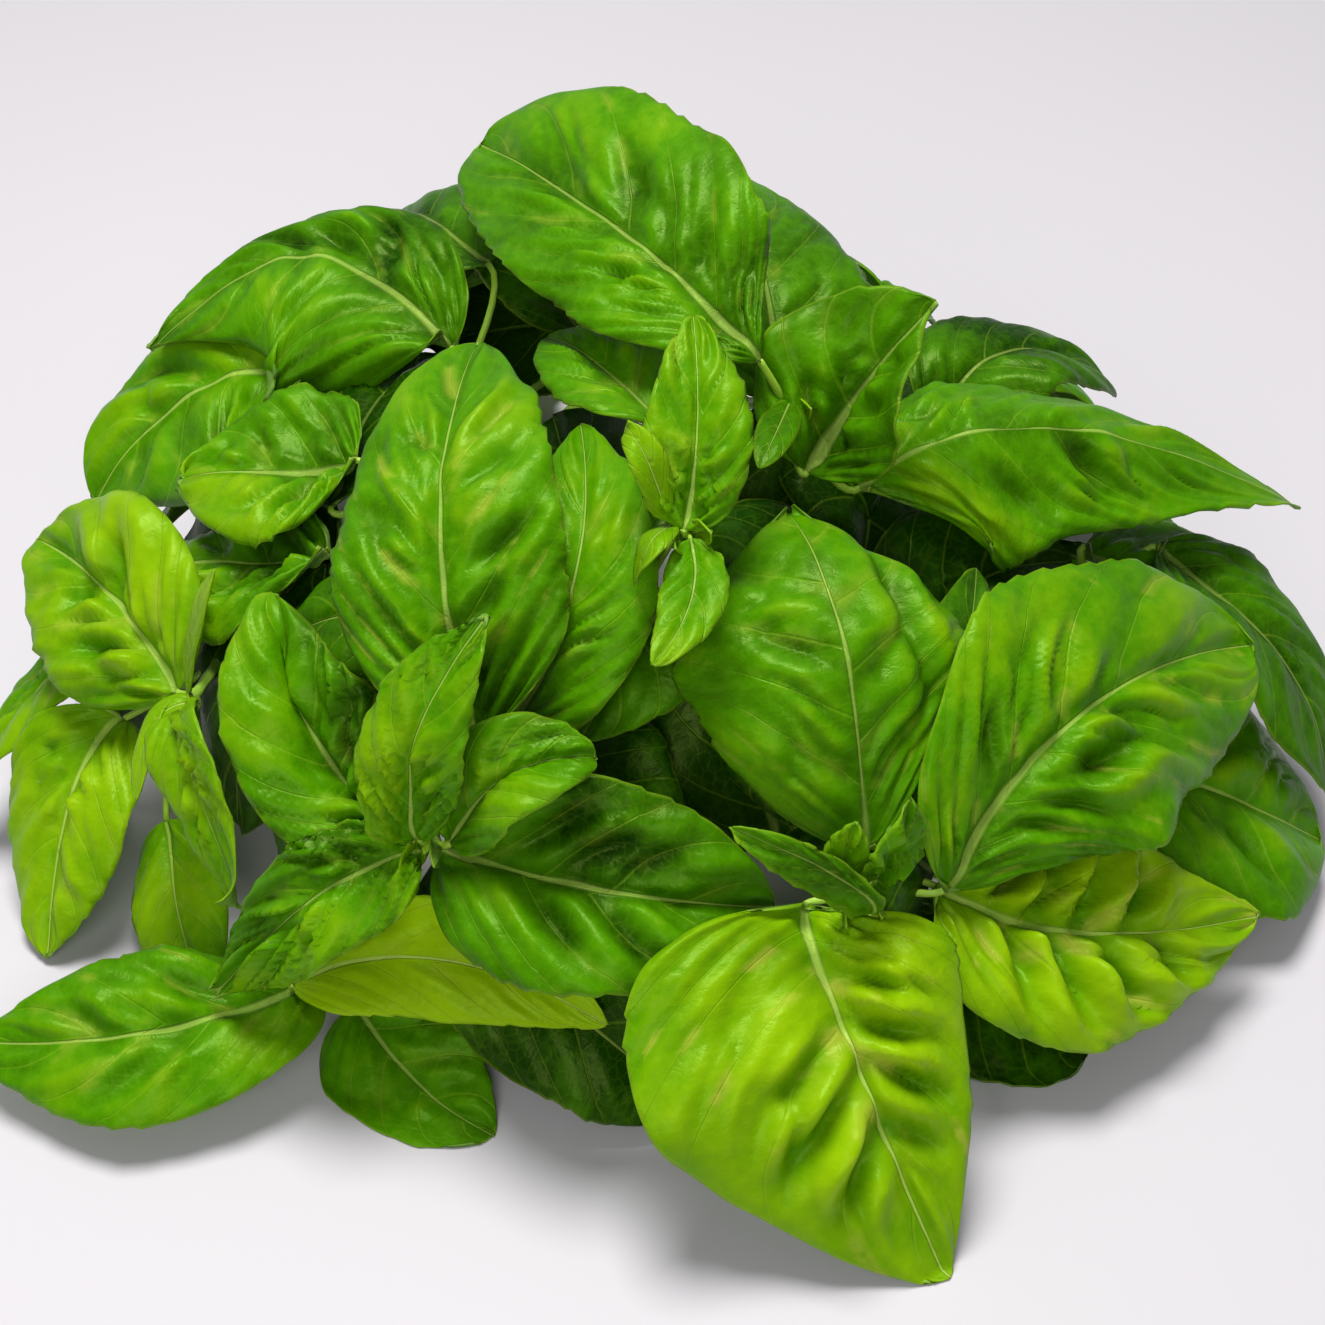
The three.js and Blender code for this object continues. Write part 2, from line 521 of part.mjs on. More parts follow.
/** Lays a blade over what is already there: its points rise along the way it faces until they
 * clear the samples below, and the rest of the blade follows smoothly. */
function settle(grid, placed, sprig) {
  const rows = grid.length;
  const columns = grid[0].length;
  const facing = new THREE.Vector3();
  for (let i = 1; i < rows - 1; i++) facing.add(gridNormal(grid, i, (columns - 1) / 2));
  facing.normalize();
  const centre = grid[rows >> 1][columns >> 1];
  const root = grid[0][columns >> 1].clone();
  const size = centre.distanceTo(root) * 2 + REACH;
  const near = placed.filter(({ point, sprig: owner }) => point.distanceTo(centre) < size
    && !(owner === sprig && point.distanceTo(root) < ROOT_CLEAR));
  const lift = grid.map((row) => row.map(() => 0));
  const away = new THREE.Vector3();
  for (let pass = 0; pass < SETTLE_PASSES; pass++) {
    for (let i = 0; i < rows; i++) {
      for (let j = 0; j < columns; j++) {
        const here = grid[i][j];
        const cell = Math.max(
          here.distanceTo(grid[i + 1 < rows ? i + 1 : i - 1][j]),
          here.distanceTo(grid[i][j + 1 < columns ? j + 1 : j - 1]),
        );
        const radius = cell / 2 + SAMPLE_MARGIN;
        for (const { point } of near) {
          away.subVectors(point, here);
          const above = away.dot(facing);
          if (above > REACH || above + LEAF_GAP < lift[i][j]) continue;
          const aside = Math.sqrt(Math.max(0, away.lengthSq() - above * above));
          if (aside < radius) lift[i][j] = above + LEAF_GAP;
        }
      }
    }
    const smooth = lift.map((row, i) => row.map((value, j) => {
      let sum = 0;
      let count = 0;
      for (const [a, b] of [[i - 1, j], [i + 1, j], [i, j - 1], [i, j + 1]]) {
        if (a < 0 || b < 0 || a >= rows || b >= columns) continue;
        sum += lift[a][b];
        count += 1;
      }
      return Math.max(value, sum / count);
    }));
    smooth.forEach((row, i) => row.forEach((value, j) => { lift[i][j] = value; }));
  }
  grid.forEach((row, i) => row.forEach((point, j) => {
    point.addScaledVector(facing, lift[i][j]);
    point.z = Math.max(point.z, FLOOR);
  }));
}

// ---- Solids ----

function solid(geometry) {
  const merged = mergeVertices(geometry);
  return new wasm.Manifold(new wasm.Mesh({
    numProp: 3,
    vertProperties: merged.attributes.position.array,
    triVerts: merged.index.array,
  }));
}

/** Joins solids into one, fills any hollow that this seals, drops any loose scrap and clears away the
 * slivers that are left where their faces cross. */
function fuse(solids) {
  const joined = wasm.Manifold.union(solids);
  const whole = joined.decompose().reduce((a, b) => (b.volume() > a.volume() ? b : a));
  return whole.asOriginal().simplify(SLIVER);
}

function toGeometry(manifold) {
  const mesh = manifold.getMesh();
  const geometry = new THREE.BufferGeometry();
  geometry.setAttribute('position', new THREE.BufferAttribute(mesh.vertProperties, 3));
  geometry.setIndex(new THREE.BufferAttribute(mesh.triVerts, 1));
  return geometry;
}

// ---- The bunch ----

const bunch = new THREE.Group();
bunch.position.copy(ORIGIN_SHIFT);
const placed = [];
const pieces = SPRIGS.map((sprig) => {
  const path = stemPath(sprig);
  const steps = Math.round(path.length / STEM_STEP);
  const points = path.curve.getSpacedPoints(steps);
  const radii = points.map((_, i) => THREE.MathUtils.lerp(STEM_RADIUS.cut, STEM_RADIUS.tip, i / steps));
  for (const point of path.curve.getSpacedPoints(Math.round(path.length / SAMPLE_STEP))) {
    placed.push({ point, sprig });
  }
  return { sprig, path, solids: [solid(tubeGeometry(points, radii, STEM_SIDES))] };
});

const leaves = pieces.flatMap((piece) => piece.sprig.leaves.map((leaf) => ({ piece, leaf })));
leaves.sort((a, b) => a.leaf.layer - b.leaf.layer);
for (const { piece, leaf } of leaves) {
  const rib = leaf.rib.map(onHeap);
  const grid = bladeGrid(leaf, rib, outward(rib[1]));
  settle(grid, placed, piece.sprig);
  const petiole = petiolePoints(piece.path, grid, placed, piece.sprig);
  const petioleScale = leaf.width < SMALL_WIDTH ? SMALL_SCALE : 1;
  piece.solids.push(solid(leafGeometry(grid, petiole, petioleScale)));
  for (const point of [...samplesOf(grid), ...petiole]) placed.push({ point, sprig: piece.sprig });
}

// The growing tip of each stem: a pair of young leaves, not yet spread.
for (const { path, solids } of pieces) {
  const tip = path.curve.getPointAt(1);
  const along = path.curve.getTangentAt(1);
  const beside = new THREE.Vector3().crossVectors(along, UP).normalize();
  beside.applyAxisAngle(along, rad(YOUNG.turn));
  for (const side of [1, -1]) {
    const away = beside.clone().multiplyScalar(side);
    const bulge = (s) => YOUNG.length * YOUNG.spread * Math.sin(Math.PI * s * 0.6) + YOUNG.aside;
    const place = (s) => tip.clone()
      .addScaledVector(along, YOUNG.length * s - YOUNG.depth)
      .addScaledVector(away, bulge(s));
    const rib = [place(0), place(0.5), place(1)];
    const leaf = { width: YOUNG.width, fold: YOUNG.fold, layer: Infinity };
    const grid = bladeGrid(leaf, rib, away.clone().negate());
    const stalk = [tip.clone().addScaledVector(along, -2 * YOUNG.depth), rib[0]];
    solids.push(solid(leafGeometry(grid, stalk, SMALL_SCALE)));
  }
}

for (const { sprig, solids } of pieces) {
  const material = new THREE.MeshStandardMaterial({ color: sprig.colour, roughness: 0.4, metalness: 0 });
  const mesh = new THREE.Mesh(toGeometry(fuse(solids)), material);
  mesh.name = sprig.name;
  bunch.add(mesh);
}

export default bunch;
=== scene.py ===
"""A bunch of cut basil lying on a table: ten leafy stems, gathered at the back, whose leaves heap up in front
into a low dome. Blender 4.5. The layout is worked out in millimetres, and the meshes are made in metres."""

import math
from typing import NamedTuple

import bmesh
import bpy
import numpy as np
from bpy.props import FloatProperty, FloatVectorProperty, PointerProperty
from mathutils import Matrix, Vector, noise


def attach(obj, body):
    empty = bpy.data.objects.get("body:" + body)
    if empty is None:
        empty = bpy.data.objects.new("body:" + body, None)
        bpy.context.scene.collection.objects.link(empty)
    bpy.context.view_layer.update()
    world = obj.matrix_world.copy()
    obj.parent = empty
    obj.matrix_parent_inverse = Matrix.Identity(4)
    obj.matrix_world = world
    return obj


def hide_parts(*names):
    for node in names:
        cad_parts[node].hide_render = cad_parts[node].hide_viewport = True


bl_info = {
    "name": "Basil Bunch",
    "version": (1, 0, 0),
    "blender": (4, 5, 0),
    "location": "3D View > Sidebar > Basil",
    "description": "Ten leafy basil stems, heaped on a table",
    "category": "Add Mesh",
}

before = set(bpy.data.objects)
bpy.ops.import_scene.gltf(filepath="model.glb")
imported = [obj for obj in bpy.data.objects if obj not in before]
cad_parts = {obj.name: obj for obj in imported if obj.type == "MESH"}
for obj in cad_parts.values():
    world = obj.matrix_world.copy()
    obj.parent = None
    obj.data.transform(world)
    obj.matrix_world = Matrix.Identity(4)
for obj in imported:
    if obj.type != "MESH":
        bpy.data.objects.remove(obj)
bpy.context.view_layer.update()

# ---- The layout's driving dimensions, in millimetres, as the solids have them ----

MM = 0.001
HEAP = np.array([150.0, 146.0, 126.0])  # radii of the dome that the leaves lie over
ORIGIN_SHIFT = np.array([1.76, 0.95, 0.0])  # puts the origin under the bunch's middle

BLADE_THICKNESS = 0.8  # of the solid blade, about whose middle the thin one is laid
BLADE_END = 0.7  # half width that a solid blade keeps at its base and its tip
WAVES, WAVE_LAG = 2.2, 0.3  # slow waves along a blade, and how far its two sides' waves are apart
WAVE_HEIGHT = 0.05  # as a share of the half width
# Outlines: the half width at s along the rib goes as s^first * (1 - s)^second.
OVATE = (0.5, 0.7)
OBOVATE = (0.8, 0.5)  # widest past its middle
ROUND = (0.55, 0.48)  # its tip curls under
POINTED = (0.5, 0.85)
TAPERED = (0.55, 1.05)  # draws out into its tip
BLADE_GRIDS = ((22, 4, 2), (43, 6, 2), (math.inf, 7, 4))  # up to this width: rows, columns
HIDDEN_LAYER = 2  # the leaves of these first layers lie under the others
HIDDEN_GRID = (5, 2)
SMALL_WIDTH = 22  # a blade narrower than this has a thin petiole

STEM_RADIUS = (2.4, 1.2)  # at the cut end and at the growing tip
STEM_NODES = (1, 4, 12, 26, 46, 72, 102, 136, 174)  # from the tip, where petioles leave
PETIOLE_STEPS = 3  # of the solid one
PETIOLE_RADIUS = (1.2, 0.9)  # at the stem and at the blade
PETIOLE_BOWS, PETIOLE_WAYS = (0, 0.25, 0.5), 8  # how far it may bow, as shares of its length, and which ways
PETIOLE_HANDLE = 0.3  # how far it keeps its way at either end, as a share of its length
CLEARER_BY = 0.2  # a bow further from the other sprigs by this much is better
YOUNG_LENGTH, YOUNG_WIDTH, YOUNG_SPREAD, YOUNG_TURN = 13, 7, 0.3, 20  # the pair at the growing tip
YOUNG_LAYER = 99  # above all others

# Leaves rest on one another: each is laid over what lies below it, along the way it faces.
LEAF_GAP = 3.0
REACH = 20  # what stands further above a leaf than this lies over it
ROOT_CLEAR = 14  # a leaf ignores its own sprig this near its base
SAMPLE_STEP = 4
SAMPLE_NEAR = 2  # a sample counts for a point that it lies this near, beyond half a face
SETTLE_PASSES = 3
REACH_UP = 0.35  # how far every leaf turns up from the dome's own slope, to the light
LOW, SPREAD = 60, 1.5  # below this height the leaves turn up more, as they spread on the table
FLOOR = BLADE_THICKNESS / 2

UP = np.array([0.0, 0.0, 1.0])

# ---- The sprigs ----


class Leaf(NamedTuple):
    """One leaf, in millimetres and degrees."""

    rib: tuple  # base, middle and end of the midrib, as on_heap reads them
    width: float
    layer: int  # the order that leaves are laid in
    tone: float  # 0 for an old deep green leaf and 1 for a young yellow-green one; hidden leaves have about 0, a darker green that is painted shade for the heap's inside
    crinkle: float = 0.5  # how far the blade puffs up between its veins
    scars: float = 0  # how much of it is pale and rubbed
    roll: float = 0  # turns the blade about its rib
    fold: float = 14  # the angle of each half at the rib
    bend: float = -36  # what that angle gains towards the margin
    sides: tuple = (1, 1)  # shares of the width that the left and the right half have
    form: tuple = OVATE
    # Creases pressed in: share along the rib, share across from -1 to 1, half length, half width, depth, and
    # the angle from the rib
    dents: tuple = ()


class Sprig:
    """One leafy stem: its CAD node, its material slot, points from the cut end to the tip, and its leaves."""

    def __init__(self, name, slot, stem, *leaves):
        self.name, self.slot, self.stem, self.leaves = name, slot, stem, leaves


SPRIGS = (
    Sprig(
        "sprig_back", "leaf_deep",
        ((6, 182, 7.9), (10, 120, 26), (20, 60, 66), (30, 10, 100), (31, -15, 116)),
        Leaf(
            ((346, 79, -12), (109, 83, 17), (120, 57, 34)), 64, 8, 0.36, 0.6, 0.25, roll=-28, bend=-22,
            sides=(0.85, 1.05), form=OBOVATE,
            dents=((0.45, -0.3, 10, 4, 4, 45), (0.6, 0.35, 10, 5, 4, 30), (0.35, 0.3, 9, 4, 3, 45)),
        ),
        Leaf(((359, 77, -15), (57, 73, 6), (82, 56, 20)), 62, 6, 0.28, 0.5, 0.2),
        Leaf(((322, 71, -13), (338, 71, 8), (346, 69, 33)), 50, 7, 0.34, 0.9, 0.1, fold=34, bend=-8),
        Leaf(
            ((339, 66, -22), (355, 53, 8), (4, 24, 36)), 70, 7, 0.42, 0.6, 0.1, roll=28, fold=-28,
            sides=(0.8, 1.25), form=TAPERED,
            dents=((0.4, 0.4, 12, 4, 4, 30), (0.6, 0.3, 9, 4, 4, 40)),
        ),
        Leaf(((328, 76, 0), (306, 73, 5), (295, 70, 5)), 10, 9, 0.3),
        Leaf(((16, 54, -25), (23, 49, 5), (21, 34, 12)), 42, 5, 0.15, 0.6),
        Leaf(((10, 60, -44), (36, 52, -22), (54, 40, -16)), 52, 2, 0),
        Leaf(((24, 62, -52), (350, 62, -38), (320, 58, -36)), 56, 1, -0.05),
        Leaf(((39, 75, -36), (4, 74, -48), (325, 66, -60)), 50, 1, -0.05),
    ),
    Sprig(
        "sprig_centre", "leaf_bright",
        ((-2, 182, 7.9), (-4, 120, 20), (-2, 50, 48), (2, -20, 90), (6, -66, 119)),
        Leaf(((274, 64, 10), (278, 71, 22), (283, 80, 30)), 26, 9, 0.56, 1.7, 0.2, fold=25),
        Leaf(((275, 63, 10), (274, 57, 16), (269, 51, 20)), 16, 9, 0.56, 1.7, 0.1, fold=20),
        Leaf(((271, 65, 8), (266, 68, 10), (260, 71, 10)), 9, 9, 0.7, 0.4),
        Leaf(((272, 65, 6), (269, 62, 8), (266, 59, 4)), 8, 9, 0.7, 0.4),
        Leaf(((277, 79, -14), (208, 84, -4), (153, 77, -4)), 35, 5, 0.38, 0.6, 0.2),
        Leaf(((272, 63, -20), (265, 55, -14), (258, 45, -20)), 34, 4, 0.25, 0.4),
        Leaf(((310, 60, -50), (292, 62, -34), (280, 52, -32)), 50, 1, -0.05),
        Leaf(((252, 58, -40), (228, 74, -30), (150, 74, -30)), 62, 1, -0.05),
        Leaf(((98, 48, -24), (114, 45, -17), (131, 41, -12)), 54, 2, -0.05, roll=-45),
    ),
    Sprig(
        "sprig_front_right", "leaf_mid",
        ((12, 182, 2.4), (24, 120, 8), (38, 30, 22), (46, -60, 42), (45, -120, 58)),
        Leaf(((288, 28, 2), (287, 33, 12), (288, 37, 20)), 13, 9, 0.46, 2.6, fold=25),
        Leaf(((291, 30, 4), (292, 34, 13), (293, 38, 22)), 15, 9, 0.33, 2.6, fold=22),
        Leaf(((287, 28, 0), (281, 34, 8), (276, 38, 14)), 10, 9, 0.4, 5, fold=30),
        Leaf(
            ((292, 31, -8), (294, 51, 8), (302, 67, -6)), 82, 6, 0.42, 0.45, 0.25, fold=-15, form=ROUND,
            dents=((0.62, 0.5, 24, 4.5, 5, -5), (0.45, 0.25, 10, 5, 3, 40), (0.55, -0.3, 9, 5, 3, 45)),
        ),
        Leaf(((300, 29, -22), (310, 42, -6), (330, 51, -10)), 30, 4, 0.2),
        Leaf(
            ((299, 24, -10), (318, 36, 10), (345, 25, 14)), 70, 6, 0.47, 0.6, 0.45, form=ROUND,
            dents=(
                (0.5, 0.33, 13, 4.5, 8, 8), (0.62, 0.24, 8, 3.5, 4, 30), (0.34, 0.45, 11, 3.5, 5, 42),
                (0.24, 0.4, 9, 3.5, 4, 45), (0.3, -0.35, 9, 3.5, 4, 45),
            ),
        ),
        Leaf(
            ((300, 23, -12), (311, 15, 6), (327, 6, 22)), 58, 5, 0.72, 1.1, 0.9, form=POINTED,
            dents=(
                (0.26, -0.4, 9, 3.2, 6, 55), (0.4, -0.45, 10, 3.5, 8, 62), (0.54, -0.42, 10, 3.5, 8, 65),
                (0.68, -0.4, 8, 3.2, 7, 60), (0.32, 0.4, 9, 3.2, 6, 58), (0.46, 0.42, 10, 3.5, 7, 60),
                (0.6, 0.42, 9, 3.2, 7, 62), (0.74, 0.36, 7, 3, 5, 58),
            ),
        ),
        Leaf(
            ((284, 27, -4), (285, 17, 20), (289, -1, 48)), 80, 7, 0.76, 0.7, 0.9, bend=-30, sides=(0.75, 1.3),
            form=POINTED,
            dents=(
                (0.36, -0.4, 10, 3.2, 6, 55), (0.48, -0.32, 10, 3.5, 7, 62), (0.6, -0.36, 9, 3.2, 6, 55),
                (0.72, -0.3, 7, 3, 4, 55), (0.5, 0.26, 8, 3.2, 5, 58), (0.62, 0.3, 10, 3.5, 6.5, 55),
                (0.74, 0.26, 7, 3, 5, 50), (0.3, 0.4, 9, 4, 3, 40),
            ),
        ),
        Leaf(((286, 30, -42), (284, 45, -30), (290, 58, -24)), 52, 1, -0.05),
        Leaf(((302, 23, -18), (295, 27, -24), (286, 26, -30)), 46, 2, 0),
        Leaf(((304, 12, -40), (307, 3, -6), (310, -1, 12)), 46, 2, 0.05),
        Leaf(((330, 40, -50), (337, 48, -28), (352, 38, -14)), 54, 2, -0.05),
        Leaf(((322, 26, -46), (334, 32, -24), (348, 36, -16)), 50, 2, 0),
        Leaf(((297, 46, -62), (292, 35, -52), (286, 24, -44)), 52, 1, -0.05),
    ),
    Sprig(
        "sprig_front_left", "leaf_mid",
        ((4, 182, 2.4), (-6, 120, 9), (-26, 30, 30), (-44, -60, 54), (-53, -111, 66)),
        Leaf(((245, 33, 0), (245, 43, 20), (249, 53, 28)), 26, 9, 0.52, 1.7, 0.1, fold=20),
        Leaf(
            ((246, 31, -6), (264, 31, 2), (282, 27, -8)), 52, 5, 0.26, 0.8, 0.1, fold=35,
            dents=(
                (0.35, -0.45, 11, 4, 5, 35), (0.5, -0.35, 10, 4, 5, 30), (0.65, -0.4, 9, 4, 4, 30),
                (0.4, 0.4, 10, 4, 4, 40), (0.6, 0.45, 9, 4, 4, 40),
            ),
        ),
        Leaf(((248, 33, 2), (254, 41, 9), (263, 43, 0)), 28, 8, 0.36, 1.2, 0.1, fold=40),
        Leaf(((245, 31, 0), (238, 25, 10), (230, 10, 14)), 30, 8, 0.4, 1.8, 0.1),
        Leaf(((239, 31, -10), (228, 37, 2), (213, 45, 4)), 42, 6, 0.32, 1.6, 0.1, fold=42),
        Leaf(((230, 50, -20), (219, 48, -8), (212, 40, -10)), 32, 4, 0.2, 0.6),
        Leaf(
            ((246, 42, -12), (232, 60, 14), (179, 73, 5)), 60, 6, 0.41, 0.8, 0.55, sides=(0.9, 1),
            dents=(
                (0.42, 0.45, 10, 4, 5, 50), (0.6, 0.4, 9, 4, 4, 45), (0.3, 0.35, 9, 4, 4, 40),
                (0.5, -0.45, 9, 4, 3, 40),
            ),
        ),
        Leaf(((246, 43, -16), (255, 59, 2), (234, 77, -2)), 40, 4, 0.42, 0.7, 0.2),
        Leaf(((250, 45, -40), (262, 35, -30), (275, 28, -26)), 44, 2, -0.05),
        Leaf(((225, 30, -45), (215, 40, -24), (200, 48, -18)), 50, 2, -0.05),
        Leaf(((257, 50, -66), (251, 38, -55), (244, 26, -44)), 52, 1, -0.05),
    ),
    Sprig(
        "sprig_low_front", "leaf_bright",
        ((-12, 182, 2.4), (-40, 120, 4), (-74, 40, 5), (-92, -50, 7), (-88, -110, 13)),
        Leaf(
            ((233, 8, -7), (228, 8, 31), (218, 4, 60)), 46, 7, 0.5, 0.5, 0.35,
            dents=((0.35, 0.4, 12, 4, 4, 30), (0.55, -0.4, 12, 4, 4, 30), (0.7, 0.4, 9, 4, 3, 35)),
        ),
        # Its tone past 1 is painted light, brightening this leaf where the leaves above shade it.
        Leaf(((233, 8, -4), (247, 16, -14), (265, 11, -14)), 30, 7, 1.15, 0.6, 0.2),
        Leaf(((237, 5, -12), (246, 1, -4), (255, -1, 4)), 40, 3, 0.35, 0.6, 0.1),
        Leaf(((240, 12, -30), (262, 8, -20), (272, 2, -4)), 42, 3, 0.05),
        Leaf(((237, 8, -42), (258, 12, -36), (278, 14, -28)), 46, 1, 0),
        Leaf(((227, 8, -30), (231, 15, -22), (239, 20, -20)), 42, 2, 0),
    ),
    Sprig(
        "sprig_left", "leaf_bright",
        ((-20, 182, 2.4), (-54, 120, 14), (-88, 40, 34), (-108, -20, 52), (-115, -62, 64)),
        Leaf(
            ((206, 29, 2), (192, 30, 16), (181, 25, 31)), 52, 6, 0.62, 0.9, 0.4, fold=22,
            dents=((0.35, -0.4, 9, 3.5, 4, 45), (0.5, 0.35, 9, 3.5, 5, 50), (0.62, -0.4, 8, 3.5, 4, 45)),
        ),
        Leaf(((188, 19, 10), (191, 15, 24), (195, 7, 38)), 32, 5, 0.6, 0.8, 0.3),
        Leaf(((209, 31, 4), (210, 38, 14), (211, 45, 22)), 9, 9, 0.8, 0.4),
        Leaf(((211, 31, 4), (211, 28, 12), (215, 22, 16)), 10, 9, 0.8, 0.4),
        Leaf(((211, 30, 0), (221, 27, 8), (229, 18, 6)), 22, 9, 0.6, 1.2, 0.1),
        Leaf(((198, 17, -2), (205, 9, 18), (211, 1, 32)), 42, 5, 0.76, 0.7, 0.2),
        Leaf(((208, 12, -4), (217, 6, 2), (224, 1, 8)), 28, 4, 0.58, 0.9, 0.1),
        Leaf(((202, 34, -46), (197, 24, -30), (190, 13, -18)), 52, 1, 0),
        Leaf(((172, 14, -44), (176, 5, -8), (180, -1, 14)), 46, 2, 0.05),
        Leaf(((206, 34, -54), (209, 25, -33), (214, 12, -20)), 46, 1, 0),
    ),
    Sprig(
        "sprig_upper_left", "leaf_mid",
        ((-10, 182, 7.9), (-26, 130, 26), (-48, 80, 52), (-62, 30, 74), (-66, -6, 84)),
        Leaf(
            ((146, 61, -16), (145, 46, 19), (161, 36, 32)), 62, 7, 0.3, 0.7, 0.2, roll=-35, fold=5, bend=-48,
            sides=(1.6, 0.85), form=TAPERED,
            dents=((0.4, 0.3, 12, 5, 6, 20), (0.3, 0.5, 10, 4, 4, 50), (0.55, 0.35, 9, 4, 4, 45)),
        ),
        Leaf(((182, 55, -24), (180, 47, -13), (177, 35, -5)), 52, 6, 0.5, 1.2, 0.2, roll=-25, fold=20),
        Leaf(((205, 49, -22), (193, 38, -10), (184, 26, -4)), 50, 5, 0.34, 1.4, 0.1, fold=-12),
        Leaf(
            ((158, 46, -6), (162, 37, 13), (172, 24, 22)), 62, 5, 0.44, 0.8, 0.3, roll=-38, sides=(1.7, 0.95),
            dents=((0.4, -0.4, 10, 4, 4, 45), (0.55, 0.35, 10, 4, 4, 40)),
        ),
        Leaf(((115, 65, -18), (119, 58, -2), (121, 44, 18)), 36, 5, 0),
        Leaf(((129, 58, -15), (127, 47, 8), (124, 37, 26)), 42, 6, 0.2, 0.4),
        Leaf(((150, 40, -42), (165, 50, -20), (190, 60, -16)), 50, 1, -0.05),
        Leaf(((190, 44, -42), (180, 32, -16), (172, 19, -6)), 60, 1, -0.05),
        Leaf(((192, 50, -26), (166, 56, -15), (142, 57, -15)), 46, 2, -0.05),
    ),
    Sprig(
        "sprig_right", "leaf_deep",
        ((28, 182, 2.4), (60, 120, 8), (96, 60, 18), (116, 20, 32), (118, -18, 42)),
        Leaf(((354, 36, -16), (353, 27, 6), (353, 12, 30)), 58, 5, 0.25, 0.4),
        Leaf(
            ((332, 19, -14), (336, 13, 12), (341, 4, 33)), 66, 4, 0.46, 0.4, 0.1, form=ROUND,
            dents=((0.4, -0.35, 12, 4, 4, 40), (0.55, 0.4, 10, 4, 4, 40)),
        ),
        Leaf(((356, 27, -16), (350, 19, 6), (343, 6, 30)), 52, 5, 0.22, 0.4),
        Leaf(((342, 8, -36), (330, 3, -8), (318, -1, 8)), 44, 2, 0.05),
        Leaf(((18, 12, -44), (10, 6, -8), (6, -1, 12)), 46, 2, 0.2, 0.4),
        Leaf(((352, 10, -44), (352, 4, -8), (354, -1, 12)), 44, 2, 0.2, 0.4),
    ),
    Sprig(
        "sprig_back_left", "leaf_mid", ((-28, 182, 2.4), (-50, 140, 16), (-70, 105, 36), (-78, 88, 50)),
        Leaf(((130, 34, -20), (140, 20, 10), (148, 4, 18)), 54, 5, 0.3, 0.5, 0.1),
        Leaf(((124, 34, -20), (112, 26, 8), (106, 8, 14)), 52, 5, 0.35, 0.5, 0.1),
        Leaf(((128, 26, -30), (160, 18, 0), (170, 4, 10)), 48, 3, 0.2, 0.4),
        Leaf(((130, 38, -16), (122, 49, 2), (113, 59, 2)), 42, 4, 0.3, 0.5, 0.1),
        Leaf(((120, 38, -18), (104, 36, 4), (92, 24, 12)), 50, 4, 0.3, 0.4),
        Leaf(((126, 14, -24), (112, 10, 0), (103, 2, 12)), 44, 3, 0.2, 0.4),
    ),
    Sprig(
        "sprig_back_right", "leaf_deep", ((20, 182, 2.4), (44, 140, 18), (66, 105, 42), (74, 82, 60)),
        Leaf(((48, 38, -20), (40, 22, 10), (32, 4, 18)), 54, 5, 0.3, 0.5, 0.1),
        Leaf(((52, 38, -20), (66, 28, 8), (74, 8, 14)), 52, 5, 0.35, 0.5, 0.1),
        Leaf(((50, 28, -30), (20, 18, 0), (12, 4, 10)), 46, 3, 0.2, 0.4),
        Leaf(((50, 42, -16), (62, 54, 4), (80, 64, 6)), 46, 4, 0.3, 0.5, 0.1),
        Leaf(((60, 30, -22), (78, 26, 0), (90, 10, 10)), 48, 3, 0.25, 0.4),
    ),
)

# ---- The heap's shape ----


def unit(v):
    """Vectors of length 1, along the last axis."""
    return v / np.linalg.norm(v, axis=-1, keepdims=True)


def on_heap(place):
    """A point given as (bearing, climb, mm out from the dome)."""
    bearing, climb = math.radians(place[0]), math.radians(place[1])
    level = math.cos(climb)
    return (HEAP + place[2]) * np.array(
        [level * math.cos(bearing), level * math.sin(bearing), math.sin(climb)]
    )


def outward(point):
    """The way a leaf at this point faces: out of the dome, and up where the heap meets the table."""
    flare = SPREAD * max(0, 1 - point[2] / LOW)
    return unit(unit(point / HEAP**2) + UP * (REACH_UP + flare))


# ---- Blades ----


def rib_at(rib, s):
    """Points and directions of the midrib, a parabola through its three points, for s from 0 to 1."""
    s = s[:, None]
    base, middle, end = rib
    points = base * (1 - s) * (1 - 2 * s) + middle * 4 * s * (1 - s) + end * s * (2 * s - 1)
    return points, unit(base * (4 * s - 3) + middle * (4 - 8 * s) + end * (4 * s - 1))


def outline(form, s):
    """Half width of a blade at s, as a share of its widest."""
    base, tip = form
    widest = base / (base + tip)
    return s**base * (1 - s) ** tip / (widest**base * (1 - widest) ** tip)


def section(t, fold, bend):
    """How far out and how high a cross section runs at t of its half, bent evenly from the rib."""
    if abs(bend) < 1e-6:
        return t * math.cos(fold), t * math.sin(fold)
    out = (np.sin(fold + bend * t) - math.sin(fold)) / bend
    return out, (math.cos(fold) - np.cos(fold + bend * t)) / bend


